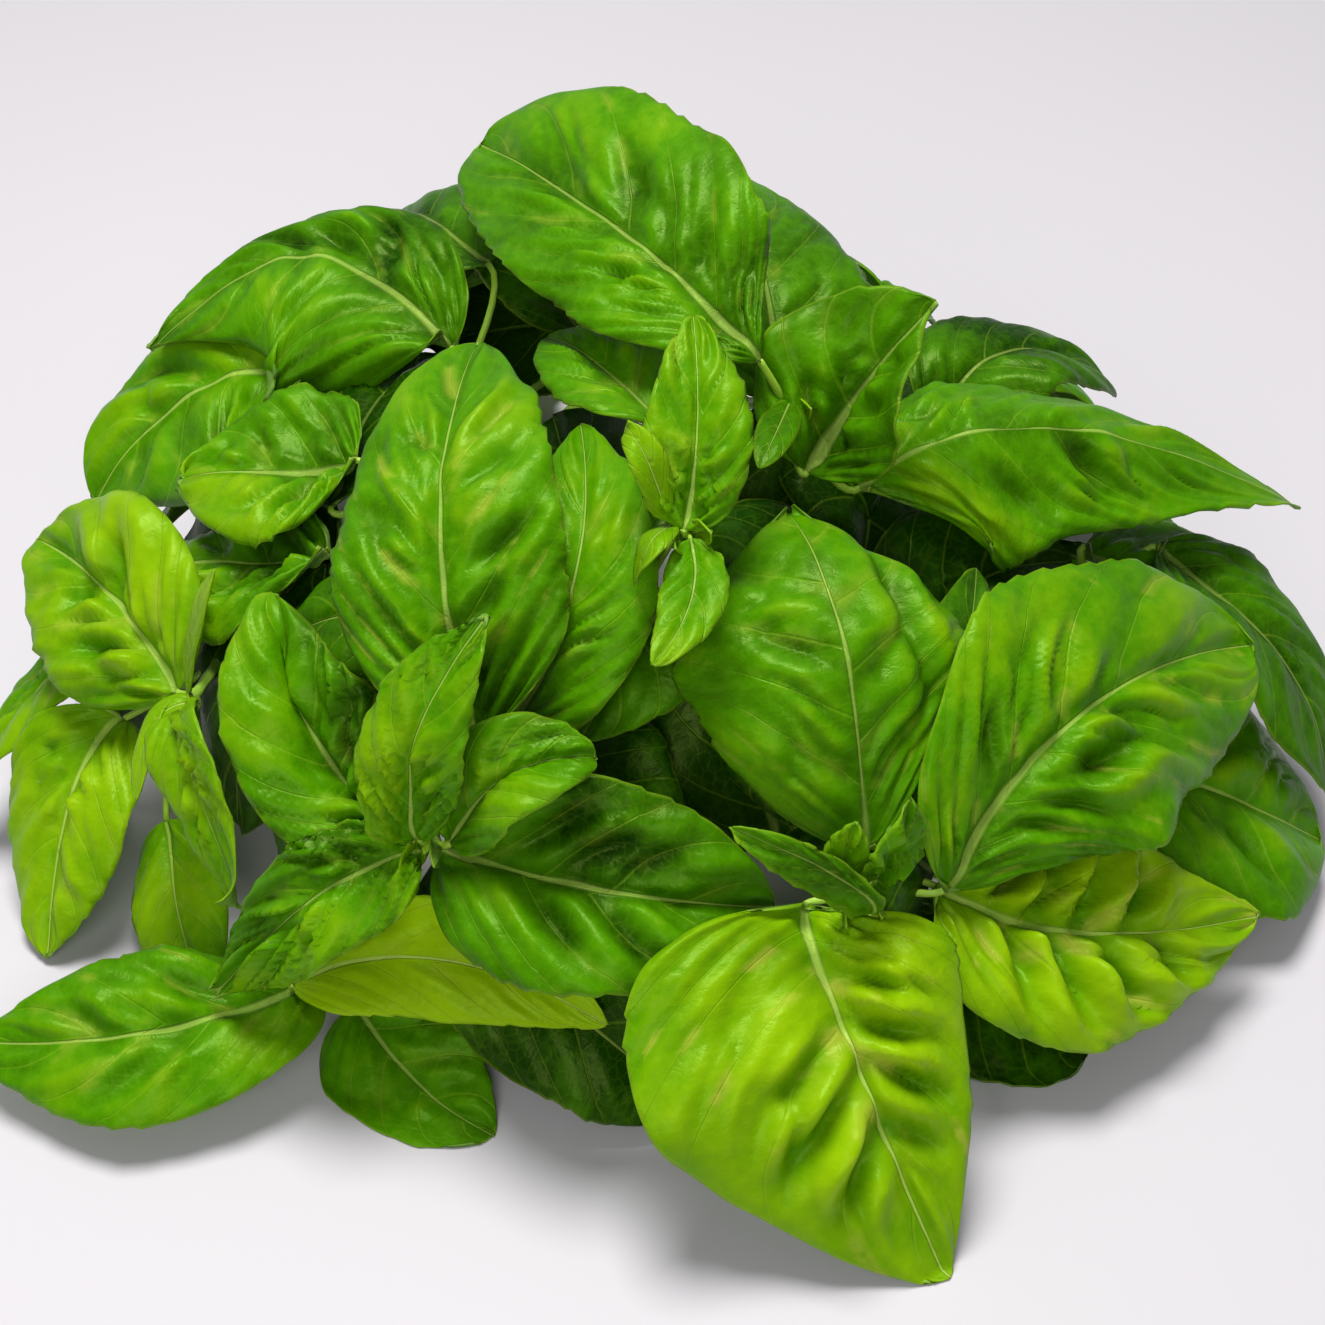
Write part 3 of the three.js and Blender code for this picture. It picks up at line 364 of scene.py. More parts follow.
def blade_points(leaf, rib, reference, s, t, half):
    """A blade's points before it settles: a row for each s and a column for each t from -1 to 1 across it.
    half is half the width there, as rows of one value or of a value for each column."""
    points, along = rib_at(rib, s)
    facing = unit(reference - (along @ reference)[:, None] * along)
    turn = math.radians(leaf.roll)
    facing = facing * math.cos(turn) + np.cross(along, facing) * math.sin(turn)
    across = np.cross(along, facing)
    left, right = leaf.sides
    reach = half * np.where(t < 0, left, right)[None, :]
    out, rise = section(np.abs(t), math.radians(leaf.fold), math.radians(leaf.bend))
    swing = WAVES * s[:, None] + WAVE_LAG * np.sign(t)[None, :] + leaf.width / 9
    ripple = WAVE_HEIGHT * half * t[None, :] ** 2 * np.sin(2 * math.pi * swing)
    sideways = (np.sign(t) * out)[None, :] * reach
    height = rise[None, :] * reach + ripple
    return points[:, None] + across[:, None] * sideways[..., None] + facing[:, None] * height[..., None]


def normals_of(grid):
    """The unit normal at each point of a grid."""
    padded = np.pad(grid, ((1, 1), (1, 1), (0, 0)), mode="edge")
    down = padded[2:, 1:-1] - padded[:-2, 1:-1]
    across = padded[1:-1, 2:] - padded[1:-1, :-2]
    return unit(np.cross(across, down))


def solid_grid(leaf, rib, reference):
    """The points that the solid blade is made on."""
    if leaf.layer <= HIDDEN_LAYER:
        rows, columns = HIDDEN_GRID
    else:
        rows, columns = next(g[1:] for g in BLADE_GRIDS if leaf.width < g[0])
    s = (1 - np.cos(math.pi * np.arange(rows + 1) / rows)) / 2
    t = 2 * np.arange(columns + 1) / columns - 1
    half = np.maximum(BLADE_END, leaf.width / 2 * outline(leaf.form, s))
    return blade_points(leaf, rib, reference, s, t, half[:, None])


# ---- Stems and petioles ----


class StemPath:
    """A stem's centre line: a centripetal Catmull-Rom curve, read by its length."""

    DIVISIONS = 200

    def __init__(self, points):
        points = np.array(points, float)
        self.points = np.vstack([2 * points[0] - points[1], points, 2 * points[-1] - points[-2]])
        self.spans = len(points) - 1
        line = self.at(np.linspace(0, 1, self.DIVISIONS + 1))
        steps = np.linalg.norm(np.diff(line, axis=0), axis=1)
        self.lengths = np.concatenate([[0], np.cumsum(steps)])
        self.length = self.lengths[-1]

    def at(self, parameter):
        """Points at parameters from 0 to 1, which run unevenly along the curve."""
        place = np.clip(np.atleast_1d(parameter) * self.spans, 0, self.spans)
        span = np.minimum(place.astype(int), self.spans - 1)
        w = (place - span)[:, None]
        p0, p1, p2, p3 = (self.points[span + i] for i in range(4))
        d0, d1, d2 = (
            np.sum((b - a) ** 2, axis=1, keepdims=True) ** 0.25 for a, b in ((p0, p1), (p1, p2), (p2, p3))
        )
        m1 = d1 * ((p1 - p0) / d0 - (p2 - p0) / (d0 + d1) + (p2 - p1) / d1)
        m2 = d1 * ((p2 - p1) / d1 - (p3 - p1) / (d1 + d2) + (p3 - p2) / d2)
        cubic = 2 * p1 - 2 * p2 + m1 + m2
        return p1 + m1 * w + (3 * p2 - 3 * p1 - 2 * m1 - m2) * w**2 + cubic * w**3

    def parameter(self, share):
        """The parameters at shares of the length."""
        divisions = np.linspace(0, 1, self.DIVISIONS + 1)
        return np.interp(np.asarray(share) * self.length, self.lengths, divisions)

    def point(self, share):
        """Points at shares of the length, from 0 at the cut end to 1 at the tip."""
        return self.at(self.parameter(share))

    def direction(self, share):
        """The way to the tip at one share of the length."""
        parameter = self.parameter(share)
        return unit(self.at(min(parameter + 1e-4, 1)) - self.at(max(parameter - 1e-4, 0)))[0]


def bezier(corners, u):
    """Points of a cubic Bezier curve."""
    u = np.asarray(u)[:, None]
    a, b, c, d = corners
    return a * (1 - u) ** 3 + 3 * b * u * (1 - u) ** 2 + 3 * c * u**2 * (1 - u) + d * u**3


def petiole_curve(path, grid, others):
    """The petiole from the stem's nearest node to a settled blade: a cubic that leaves along the stem and
    ends in the rib. It bows whichever way keeps it furthest from the samples of the other sprigs."""
    middle = (grid.shape[1] - 1) // 2
    base = grid[0, middle]
    nodes = np.maximum(0, 1 - np.array(STEM_NODES) / path.length)
    share = nodes[np.argmin(np.linalg.norm(path.point(nodes) - base, axis=1))]
    root = path.point(share)[0]
    along = path.direction(share)
    rib = unit(grid[1, middle] - base)
    length = np.linalg.norm(base - root)
    chord = (base - root) / length
    sideways = unit(np.cross(chord, UP))
    upward = np.cross(sideways, chord)
    best, clearest = None, None
    handle = PETIOLE_HANDLE * length
    for bow in PETIOLE_BOWS:
        for k in range(PETIOLE_WAYS if bow else 1):
            turn = 2 * math.pi * k / PETIOLE_WAYS
            shift = (sideways * math.cos(turn) + upward * math.sin(turn)) * bow * length
            corners = (root, root + along * handle + shift, base - rib * handle + shift, base)
            points = bezier(corners, np.linspace(0, 1, PETIOLE_STEPS * 2 + 1)[2:])
            gaps = np.linalg.norm(points[:, None] - others[None], axis=2)
            clear = min(LEAF_GAP, gaps.min())
            if best is None or clear > clearest + CLEARER_BY:
                best, clearest = corners, clear
    return best


# ---- Settling ----


def samples_of(grid):
    """Points about SAMPLE_STEP apart all over a grid."""
    samples = []
    for i in range(grid.shape[0] - 1):
        for j in range(grid.shape[1] - 1):
            a, b, c, d = grid[i, j], grid[i, j + 1], grid[i + 1, j], grid[i + 1, j + 1]
            longest = max(np.linalg.norm(a - c), np.linalg.norm(b - d))
            widest = max(np.linalg.norm(a - b), np.linalg.norm(c - d))
            x = np.linspace(0, 1, math.ceil(longest / SAMPLE_STEP) + 1)[:, None, None]
            y = np.linspace(0, 1, math.ceil(widest / SAMPLE_STEP) + 1)[None, :, None]
            samples.append(((a * (1 - y) + b * y) * (1 - x) + (c * (1 - y) + d * y) * x).reshape(-1, 3))
    return np.vstack(samples)


def settle(grid, samples, own):
    """Lays a blade over what is already there: its points rise along the way it faces until they clear the
    samples below, and the rest follows smoothly. Returns the way it rose and how far each point did."""
    rows, columns = grid.shape[:2]
    facing = unit(normals_of(grid)[1:-1, (columns - 1) // 2].sum(axis=0))
    centre, root = grid[rows // 2, columns // 2], grid[0, columns // 2]
    size = np.linalg.norm(centre - root) * 2 + REACH
    near = np.linalg.norm(samples - centre, axis=1) < size
    near &= ~(own & (np.linalg.norm(samples - root, axis=1) < ROOT_CLEAR))
    below = grid.copy()
    below[:-1] = grid[1:]
    below[-1] = grid[-2]
    beside = grid.copy()
    beside[:, :-1] = grid[:, 1:]
    beside[:, -1] = grid[:, -2]
    cell = np.maximum(np.linalg.norm(grid - below, axis=2), np.linalg.norm(grid - beside, axis=2))
    away = samples[near] - grid[:, :, None]
    above = away @ facing
    aside = np.sqrt(np.maximum(0, np.sum(away**2, axis=3) - above**2))
    counts = (above <= REACH) & (aside < 0.5 * cell[:, :, None] + SAMPLE_NEAR)
    least = np.where(counts, above + LEAF_GAP, -np.inf).max(axis=2, initial=-np.inf)
    lift = np.zeros((rows, columns))
    for _ in range(SETTLE_PASSES):
        lift = np.maximum(lift, least)
        total, count = np.zeros_like(lift), np.zeros_like(lift)
        for a, b in ((slice(1, None), slice(None, -1)), (slice(None, -1), slice(1, None))):
            total[a] += lift[b]
            count[a] += 1
            total[:, a] += lift[:, b]
            count[:, a] += 1
        lift = np.maximum(lift, total / count)
    grid += facing * lift[..., None]
    grid[..., 2] = np.maximum(grid[..., 2], FLOOR)
    return facing, lift


class LaidLeaf(NamedTuple):
    """A leaf with its place: the midrib, the way that it faces, how far each point rose when it was laid, and
    its petiole. The young leaves at a tip aren't laid, and have no petiole."""

    leaf: Leaf
    rib: np.ndarray
    reference: np.ndarray
    facing: np.ndarray
    lift: np.ndarray
    petiole: tuple


def lay_out():
    """Every sprig's stem, its leaves as settled and their petioles, in millimetres about the dome's axis."""
    sprigs = []
    samples, owners = [], []
    for sprig in SPRIGS:
        path = StemPath(sprig.stem)
        line = path.point(np.linspace(0, 1, round(path.length / SAMPLE_STEP) + 1))
        samples.append(line)
        owners.append(np.full(len(line), len(sprigs)))
        sprigs.append({"name": sprig.name, "slot": sprig.slot, "path": path, "leaves": []})
    samples, owners = np.vstack(samples), np.concatenate(owners)
    queue = [(leaf, k) for k, sprig in enumerate(SPRIGS) for leaf in sprig.leaves]
    queue.sort(key=lambda entry: entry[0].layer)
    for leaf, k in queue:
        rib = np.array([on_heap(place) for place in leaf.rib])
        reference = outward(rib[1])
        grid = solid_grid(leaf, rib, reference)
        facing, lift = settle(grid, samples, owners == k)
        petiole = petiole_curve(sprigs[k]["path"], grid, samples[owners != k])
        bits = np.vstack([samples_of(grid), bezier(petiole, np.linspace(0, 1, PETIOLE_STEPS + 1))])
        samples = np.vstack([samples, bits])
        owners = np.concatenate([owners, np.full(len(bits), k)])
        sprigs[k]["leaves"].append(LaidLeaf(leaf, rib, reference, facing, lift, petiole))
    for sprig in sprigs:
        sprig["young"] = young_leaves(sprig["path"])
    return sprigs


def young_leaves(path):
    """The pair of young leaves at a stem's growing tip, not yet spread."""
    tip, along = path.point(1)[0], path.direction(1)
    beside = unit(np.cross(along, UP))
    turn = math.radians(YOUNG_TURN)
    beside = beside * math.cos(turn) + np.cross(along, beside) * math.sin(turn)
    leaf = Leaf((), YOUNG_WIDTH, YOUNG_LAYER, tone=0.7, crinkle=0.4, fold=35)
    s = np.array([0, 0.5, 1])[:, None]
    bulge = YOUNG_LENGTH * YOUNG_SPREAD * np.sin(math.pi * s * 0.6) + 0.4
    leaves = []
    for away in (beside, -beside):
        rib = tip + along * (YOUNG_LENGTH * s - 1) + away * bulge
        leaves.append(LaidLeaf(leaf, rib, -away, -away, None, None))
    return leaves


# ---- Fine blades ----

FINE_FLOOR = 0.7  # the thin blades lie this far up, so that their ribs don't dip into the table
FINE_END = 0.25  # half width of a thin blade at its base and its tip
LEAST_ROWS = 14  # of faces along a thin blade
GROWN = 50  # a leaf narrower than this has flatter relief and a finer rib, in proportion
FIRM = 0.35  # the least share of a grown leaf's rib that a small one has
MARGIN_SWELL = (0.11, 24)  # share of the half width, and mm from swell to swell
TOOTH_PATCH = 19  # mm from one toothed stretch of the margin to the next

VEINS = 3.2, 45  # side veins to a side: so many, and one more for each so many mm of length
VEIN_CLIMB = (0.46, 0.3)  # towards the tip on the way to the margin, at the base and the tip, of the length
VEIN_CROWDING = 0.82  # below 1, the side veins leave the rib closer together near its base
SIDE_SHIFT = 0.35  # how far the right side's veins are offset from the left's, as a share of their spacing

# Relief: mm high, and mm from swell to swell
CRUMPLE, RUMPLE = (4.5, 38), (2.0, 17)  # of the whole blade
RUFFLE = (1.6, 12)  # of the margin
WANDER = (4, 15)  # how far the folds stray from the veins
FOLD_GAP, PUCKER_GAP = 10, 5.5  # folds along the veins, and finer wrinkles
PATCH_GAP = 24  # patches with more of them or fewer
PUCKER, PUFF = 0.35, 0.2  # shares of the quilting that the wrinkles have, and the puffs between veins
CALM, LIVELY = 0.85, 0.5  # how far folds die out at the margin, and how much less in a crinkled leaf
# The sunken rib and the dip that it lies in: mm deep and wide, and the share of the depth lost at the tip
GROOVE, VALLEY = (0.7, 1.5, 0.7), (1.2, 6, 0.5)
MARGIN_ROLL = 1.2  # mm that the margin turns down
PAINTED_RELIEF_SHADING = 0.07  # painted shade and light: what a puff of 1 mm adds to the tone and a crease of 1 mm takes off it, so that creases are painted darker and puffs paler

BLADE_ATTRIBUTES = ("flat", "veins", "leaf")
STEM_ATTRIBUTES = ("grain", "stem")
RIB_WIDTH = (0.2, 0.85)  # mm of half width at the tip, and what it gains at the base
RIB_SPREAD = (1.3, 0.2)  # mm over which a blade thickens to its rib: what goes with its size, and the rest


def start_mesh(attributes):
    """A new bmesh with these attributes on its vertices, and a place for the weights of a vertex group."""
    bm = bmesh.new()
    for name in attributes:
        bm.verts.layers.float_vector.new(name)
    bm.verts.layers.deform.verify()
    return bm


def add_sheet(bm, points, shown):
    """A grid laid through points in millimetres, with the values that its material reads as attributes."""
    rows, columns = points.shape[:2]
    verts = bmesh.ops.create_grid(bm, x_segments=columns - 1, y_segments=rows - 1, size=1)["verts"]
    for vert, place in zip(verts, (points * MM).reshape(-1, 3).tolist(), strict=True):
        vert.co = place
    for name, values in shown.items():
        layer = bm.verts.layers.float_vector[name]
        for vert, value in zip(verts, values.reshape(-1, 3).tolist(), strict=True):
            vert[layer] = value
    return verts


def joined(*parts):
    """Arrays of numbers as one array of points."""
    return np.stack(np.broadcast_arrays(*parts), axis=-1)


def smooth(x, low, high):
    """Rises from 0 at low to 1 at high, without a corner at either."""
    x = np.clip((x - low) / (high - low), 0, 1)
    return x * x * (3 - 2 * x)


def spline_weights(places, count):
    """The weights that read a row of values at these places by a smooth curve through them."""
    first = np.clip(np.floor(places).astype(int), 0, count - 2)
    f = places - first
    rows = np.arange(len(places))
    weights = np.zeros((len(places), count))
    curve = (
        (-1, (2 * f**2 - f - f**3) / 2),
        (0, (3 * f**3 - 5 * f**2 + 2) / 2),
        (1, (f + 4 * f**2 - 3 * f**3) / 2),
        (2, (f**3 - f**2) / 2),
    )
    for step, weight in curve:
        np.add.at(weights, (rows, np.clip(first + step, 0, count - 1)), weight)
    return weights


def bumps(points, size, seed):
    """Smooth noise of about 1 at most, whose swells are size apart."""
    values = [noise.noise(Vector((x / size, y / size, seed))) for x, y in points.reshape(-1, 2)]
    return np.array(values).reshape(points.shape[:-1])


def margin(leaf, settings, seed, s, t, edge, length):
    """Half the width at each point, with slow swells, and stretches of small teeth beyond the base."""
    share, gap = MARGIN_SWELL
    half = np.maximum(FINE_END, leaf.width / 2 * outline(leaf.form, np.clip(s, 0, 1)))
    half = half * (1 + share * bumps(edge, gap, seed + 1) * smooth(1 - s, 0, 0.2))
    saw = (s * length / (settings.tooth_length / MM) + 0.4 * (t > 0) + seed) % 1
    toothed = smooth(s, 0.12, 0.3) * smooth(1 - s, 0.01, 0.08) * min(1, leaf.width / 45)
    toothed = toothed * smooth(bumps(edge, TOOTH_PATCH, seed + 2), -0.25, 0.3)
    return half + settings.tooth_depth / MM * (saw - 0.6) * toothed * np.abs(t) ** 2


def side_veins(s, t, length):
    """Where on the rib the side vein through each point leaves it, its number, which is whole on a vein, and
    how far apart the veins are. They climb towards the tip, most steeply near the base."""
    across, (least, each) = np.abs(t), VEINS
    veins = least + length / each
    source = s - (VEIN_CLIMB[0] + (VEIN_CLIMB[1] - VEIN_CLIMB[0]) * s) * (0.7 * across + 0.3 * across**2)
    number = veins * np.sign(source) * np.abs(source) ** VEIN_CROWDING + SIDE_SHIFT * (t > 0)
    return source, number, length / veins


def dent_depth(leaf, s, out, length):
    """How far the leaf's own creases press each point in, with a rim on each side of a crease."""
    dents = 0 * out
    for place, aside, long, wide, depth, turn in leaf.dents:
        up = (s - place) * length
        off = out - aside * leaf.width / 2 * outline(leaf.form, place)
        turn = math.radians(turn) * np.sign(aside)
        along, beside = up * math.cos(turn) + off * math.sin(turn), off * math.cos(turn) - up * math.sin(turn)
        rims = sum(np.exp(-((beside / wide + rim) ** 2)) for rim in (-1.5, 1.5))
        crease = np.exp(-(np.abs(beside / wide) ** 1.3))
        dents = dents + depth * np.exp(-((along / long) ** 2)) * (crease - 0.5 * rims)
    return dents


def relief_of(leaf, settings, seed, s, t, half, edge, length, source, number):
    """How far each point stands out of the smooth blade. It sinks along the rib and the veins and puffs up
    between them; folds run out from the rib along the veins, and die out before the margin and the tip."""
    across, out = np.abs(t), t * half
    flat = joined(out, s * length)
    size = min(1, leaf.width / GROWN)
    stray = WANDER[0] * bumps(flat, WANDER[1], seed + 1)
    aligned = joined(source * length + stray, 0.7 * np.abs(out) + 60 * np.sign(t)) / max(0.5, size)
    off_rib = smooth(np.abs(out), 0.2, 5 * max(FIRM, size))
    calm = CALM - LIVELY * min(1, max(0, leaf.crinkle - 0.8))
    middle = off_rib * (1 - calm * smooth(across, 0.35, 0.9)) * (1 - 0.7 * calm * smooth(s, 0.6, 1.0))
    patches = 0.25 + 0.75 * smooth(bumps(flat, PATCH_GAP, seed + 7), -0.3, 0.2)
    folds = np.abs(bumps(aligned, FOLD_GAP, seed)) ** 0.8
    pucker = np.abs(bumps(aligned, PUCKER_GAP, seed + 4)) ** 0.9
    puff = (0.5 - 0.5 * np.cos(2 * math.pi * number)) * off_rib * (1 - 0.5 * across)
    crumple = CRUMPLE[0] * bumps(flat, CRUMPLE[1], seed + 3) + RUMPLE[0] * bumps(flat, RUMPLE[1], seed + 5)
    ruffle = RUFFLE[0] * across**4 * bumps(edge, RUFFLE[1], seed + 6)
    dips = (deep * np.exp(-((out / wide) ** 2)) * (1 - fade * s) for deep, wide, fade in (GROOVE, VALLEY))
    valley = sum(dips)
    quilt = settings.quilting / MM * (middle * patches * (folds + PUCKER * pucker - 0.35) + PUFF * puff)
    roll = MARGIN_ROLL * smooth(across, 0.8, 1.05) ** 2 * (half > 4)
    dents = dent_depth(leaf, s, out, length) * smooth(1 - across, 0, 0.25)
    return size * (leaf.crinkle * (quilt + crumple + ruffle) - valley - roll) - dents


def add_blade(bm, laid, settings, seed):
    """One blade: its upper skin as a grid, and what the material reads of it as attributes: the side veins'
    number, spacing and the rib's half width; the place on the flat leaf; the tone, with painted shade in the
    creases and painted light on the puffs, the scars and how far the margin is. Solidify gives it its
    thickness, by a vertex group that is full on the rib."""
    leaf = laid.leaf
    length = np.linalg.norm(np.diff(rib_at(laid.rib, np.linspace(0, 1, 20))[0], axis=0), axis=1).sum()
    cell = settings.hidden_cell if leaf.layer <= HIDDEN_LAYER else settings.cell
    cell = min(cell / MM, length / LEAST_ROWS)
    rows, columns = math.ceil(length / cell), 2 * math.ceil(leaf.width / cell / 2)
    even = np.arange(rows + 1) / rows
    s = (0.6 * even + 0.4 * (1 - np.cos(math.pi * even)) / 2)[:, None]  # rows are closer at the two ends
    t = (2 * np.arange(columns + 1) / columns - 1)[None, :]

    edge = joined(s * length, np.sign(t) * 40)
    half = margin(leaf, settings, seed, s, t, edge, length)
    points = blade_points(leaf, laid.rib, laid.reference, s[:, 0], t[0], half)
    if laid.lift is not None:
        down, side = laid.lift.shape[0] - 1, laid.lift.shape[1] - 1
        along = spline_weights(down * np.arccos(np.clip(1 - 2 * s[:, 0], -1, 1)) / math.pi, down + 1)
        across = spline_weights((t[0] + 1) / 2 * side, side + 1)
        points = points + laid.facing * (along @ laid.lift @ across.T)[..., None]
    source, number, gap = side_veins(s, t, length)
    relief = relief_of(leaf, settings, seed, s, t, half, edge, length, source, number)
    raised = relief * smooth(s, 0, 0.08) + settings.thickness / MM / 2
    points = points + normals_of(points) * raised[..., None]
    points[..., 2] = np.maximum(points[..., 2], FINE_FLOOR)

    size, out = min(1, leaf.width / GROWN), t * half
    rib_width = (RIB_WIDTH[0] + RIB_WIDTH[1] * (1 - s) ** 1.3) * max(FIRM, size)
    # The tone carries painted shade in the creases and painted light on the puffs.
    tone = leaf.tone + PAINTED_RELIEF_SHADING * np.clip(relief, -3, 3)
    shown = {
        "veins": joined(number, gap, rib_width),
        "flat": joined(out, s * length, seed * 9),
        "leaf": joined(tone, leaf.scars, half - np.abs(out)),
    }
    verts = add_sheet(bm, points + ORIGIN_SHIFT, shown)
    thick = bm.verts.layers.deform.verify()
    weights = np.exp(-((out / (RIB_SPREAD[0] * size + RIB_SPREAD[1])) ** 2)) * (1 - s) ** 0.6
    for vert, weight in zip(verts, weights.reshape(-1).tolist(), strict=True):
        vert[thick][0] = weight


# ---- Fine stems and petioles ----

SQUARENESS = 0.07  # share of the radius by which a stem of basil is square
STEM_STEP, STEM_SIDES = 2, 12
PETIOLE_POINTS, PETIOLE_SIDES = 13, 8
KNOT = (0.18, 2.5)  # how much a stem swells at a node, and half the length of the swelling in mm
PETIOLE_FOOT = 1.35  # how much a petiole widens where it leaves the stem
SMALL_PETIOLE = 0.6  # a small leaf's petiole, as a share of a large one's
YOUNG_STEM, YOUNG_PETIOLE = 0.1, 0.35  # how much of the young leaves' colour they have


def add_tube(bm, line, radii, sides, seed, young):
    """A tube round a line of points, a little square: a grid rolled up, whose seam and ends are closed later.
    Its material reads the place in the stalk, how young it is and how far along."""
    along = unit(np.gradient(line, axis=0))
    normal = unit(np.cross([1.0, 0.2, 0.0], along[0]))
    frames = []
    for direction in along:
        normal = unit(normal - direction * (normal @ direction))
        frames.append((normal, np.cross(direction, normal)))
    frames = np.array(frames)
    angle = np.linspace(0, 2 * math.pi, sides + 1)[None, :, None]
    radius = np.asarray(radii)[:, None, None] * (1 + SQUARENESS * np.cos(4 * angle))
    around = frames[:, None, 0] * np.cos(angle) + frames[:, None, 1] * np.sin(angle)
    points = line[:, None] + around * radius + ORIGIN_SHIFT
    points[..., 2] = np.maximum(points[..., 2], 0)
    steps = np.linalg.norm(np.diff(line, axis=0), axis=1)
    travel = np.concatenate([[0], np.cumsum(steps)])[:, None]
    angle, radius = angle[..., 0], radius[..., 0]
    grain = joined(radius * np.cos(angle), radius * np.sin(angle), travel + seed * 40)
    add_sheet(bm, points, {"grain": grain, "stem": joined(young + 0 * angle, travel, seed)})


# ---- Materials ----


def linear(hex_colour):
    """An sRGB hex colour as Blender's linear RGB."""
    values = (int(hex_colour[i : i + 2], 16) / 255 for i in (1, 3, 5))
    return tuple(v / 12.92 if v <= 0.04045 else ((v + 0.055) / 1.055) ** 2.4 for v in values)


def add(tree, kind, inputs=(), **settings):
    """Adds one shader node with its settings. Its inputs are given by name or number, or all in order, and
    each is set, or linked to a socket or to a node's first output."""
    made = tree.nodes.new("ShaderNode" + kind)
    for name, value in settings.items():
        setattr(made, name, value)
    for name, value in inputs.items() if isinstance(inputs, dict) else enumerate(inputs):
        if isinstance(value, bpy.types.Node):
            value = value.outputs[0]
        if isinstance(value, bpy.types.NodeSocket):
            tree.links.new(value, made.inputs[name])
        else:
            made.inputs[name].default_value = value
    return made


def new_material(name):
    """A material and its empty node tree."""
    material = bpy.data.materials.new(name)
    material.use_nodes = True
    material.node_tree.nodes.clear()
    return material, material.node_tree


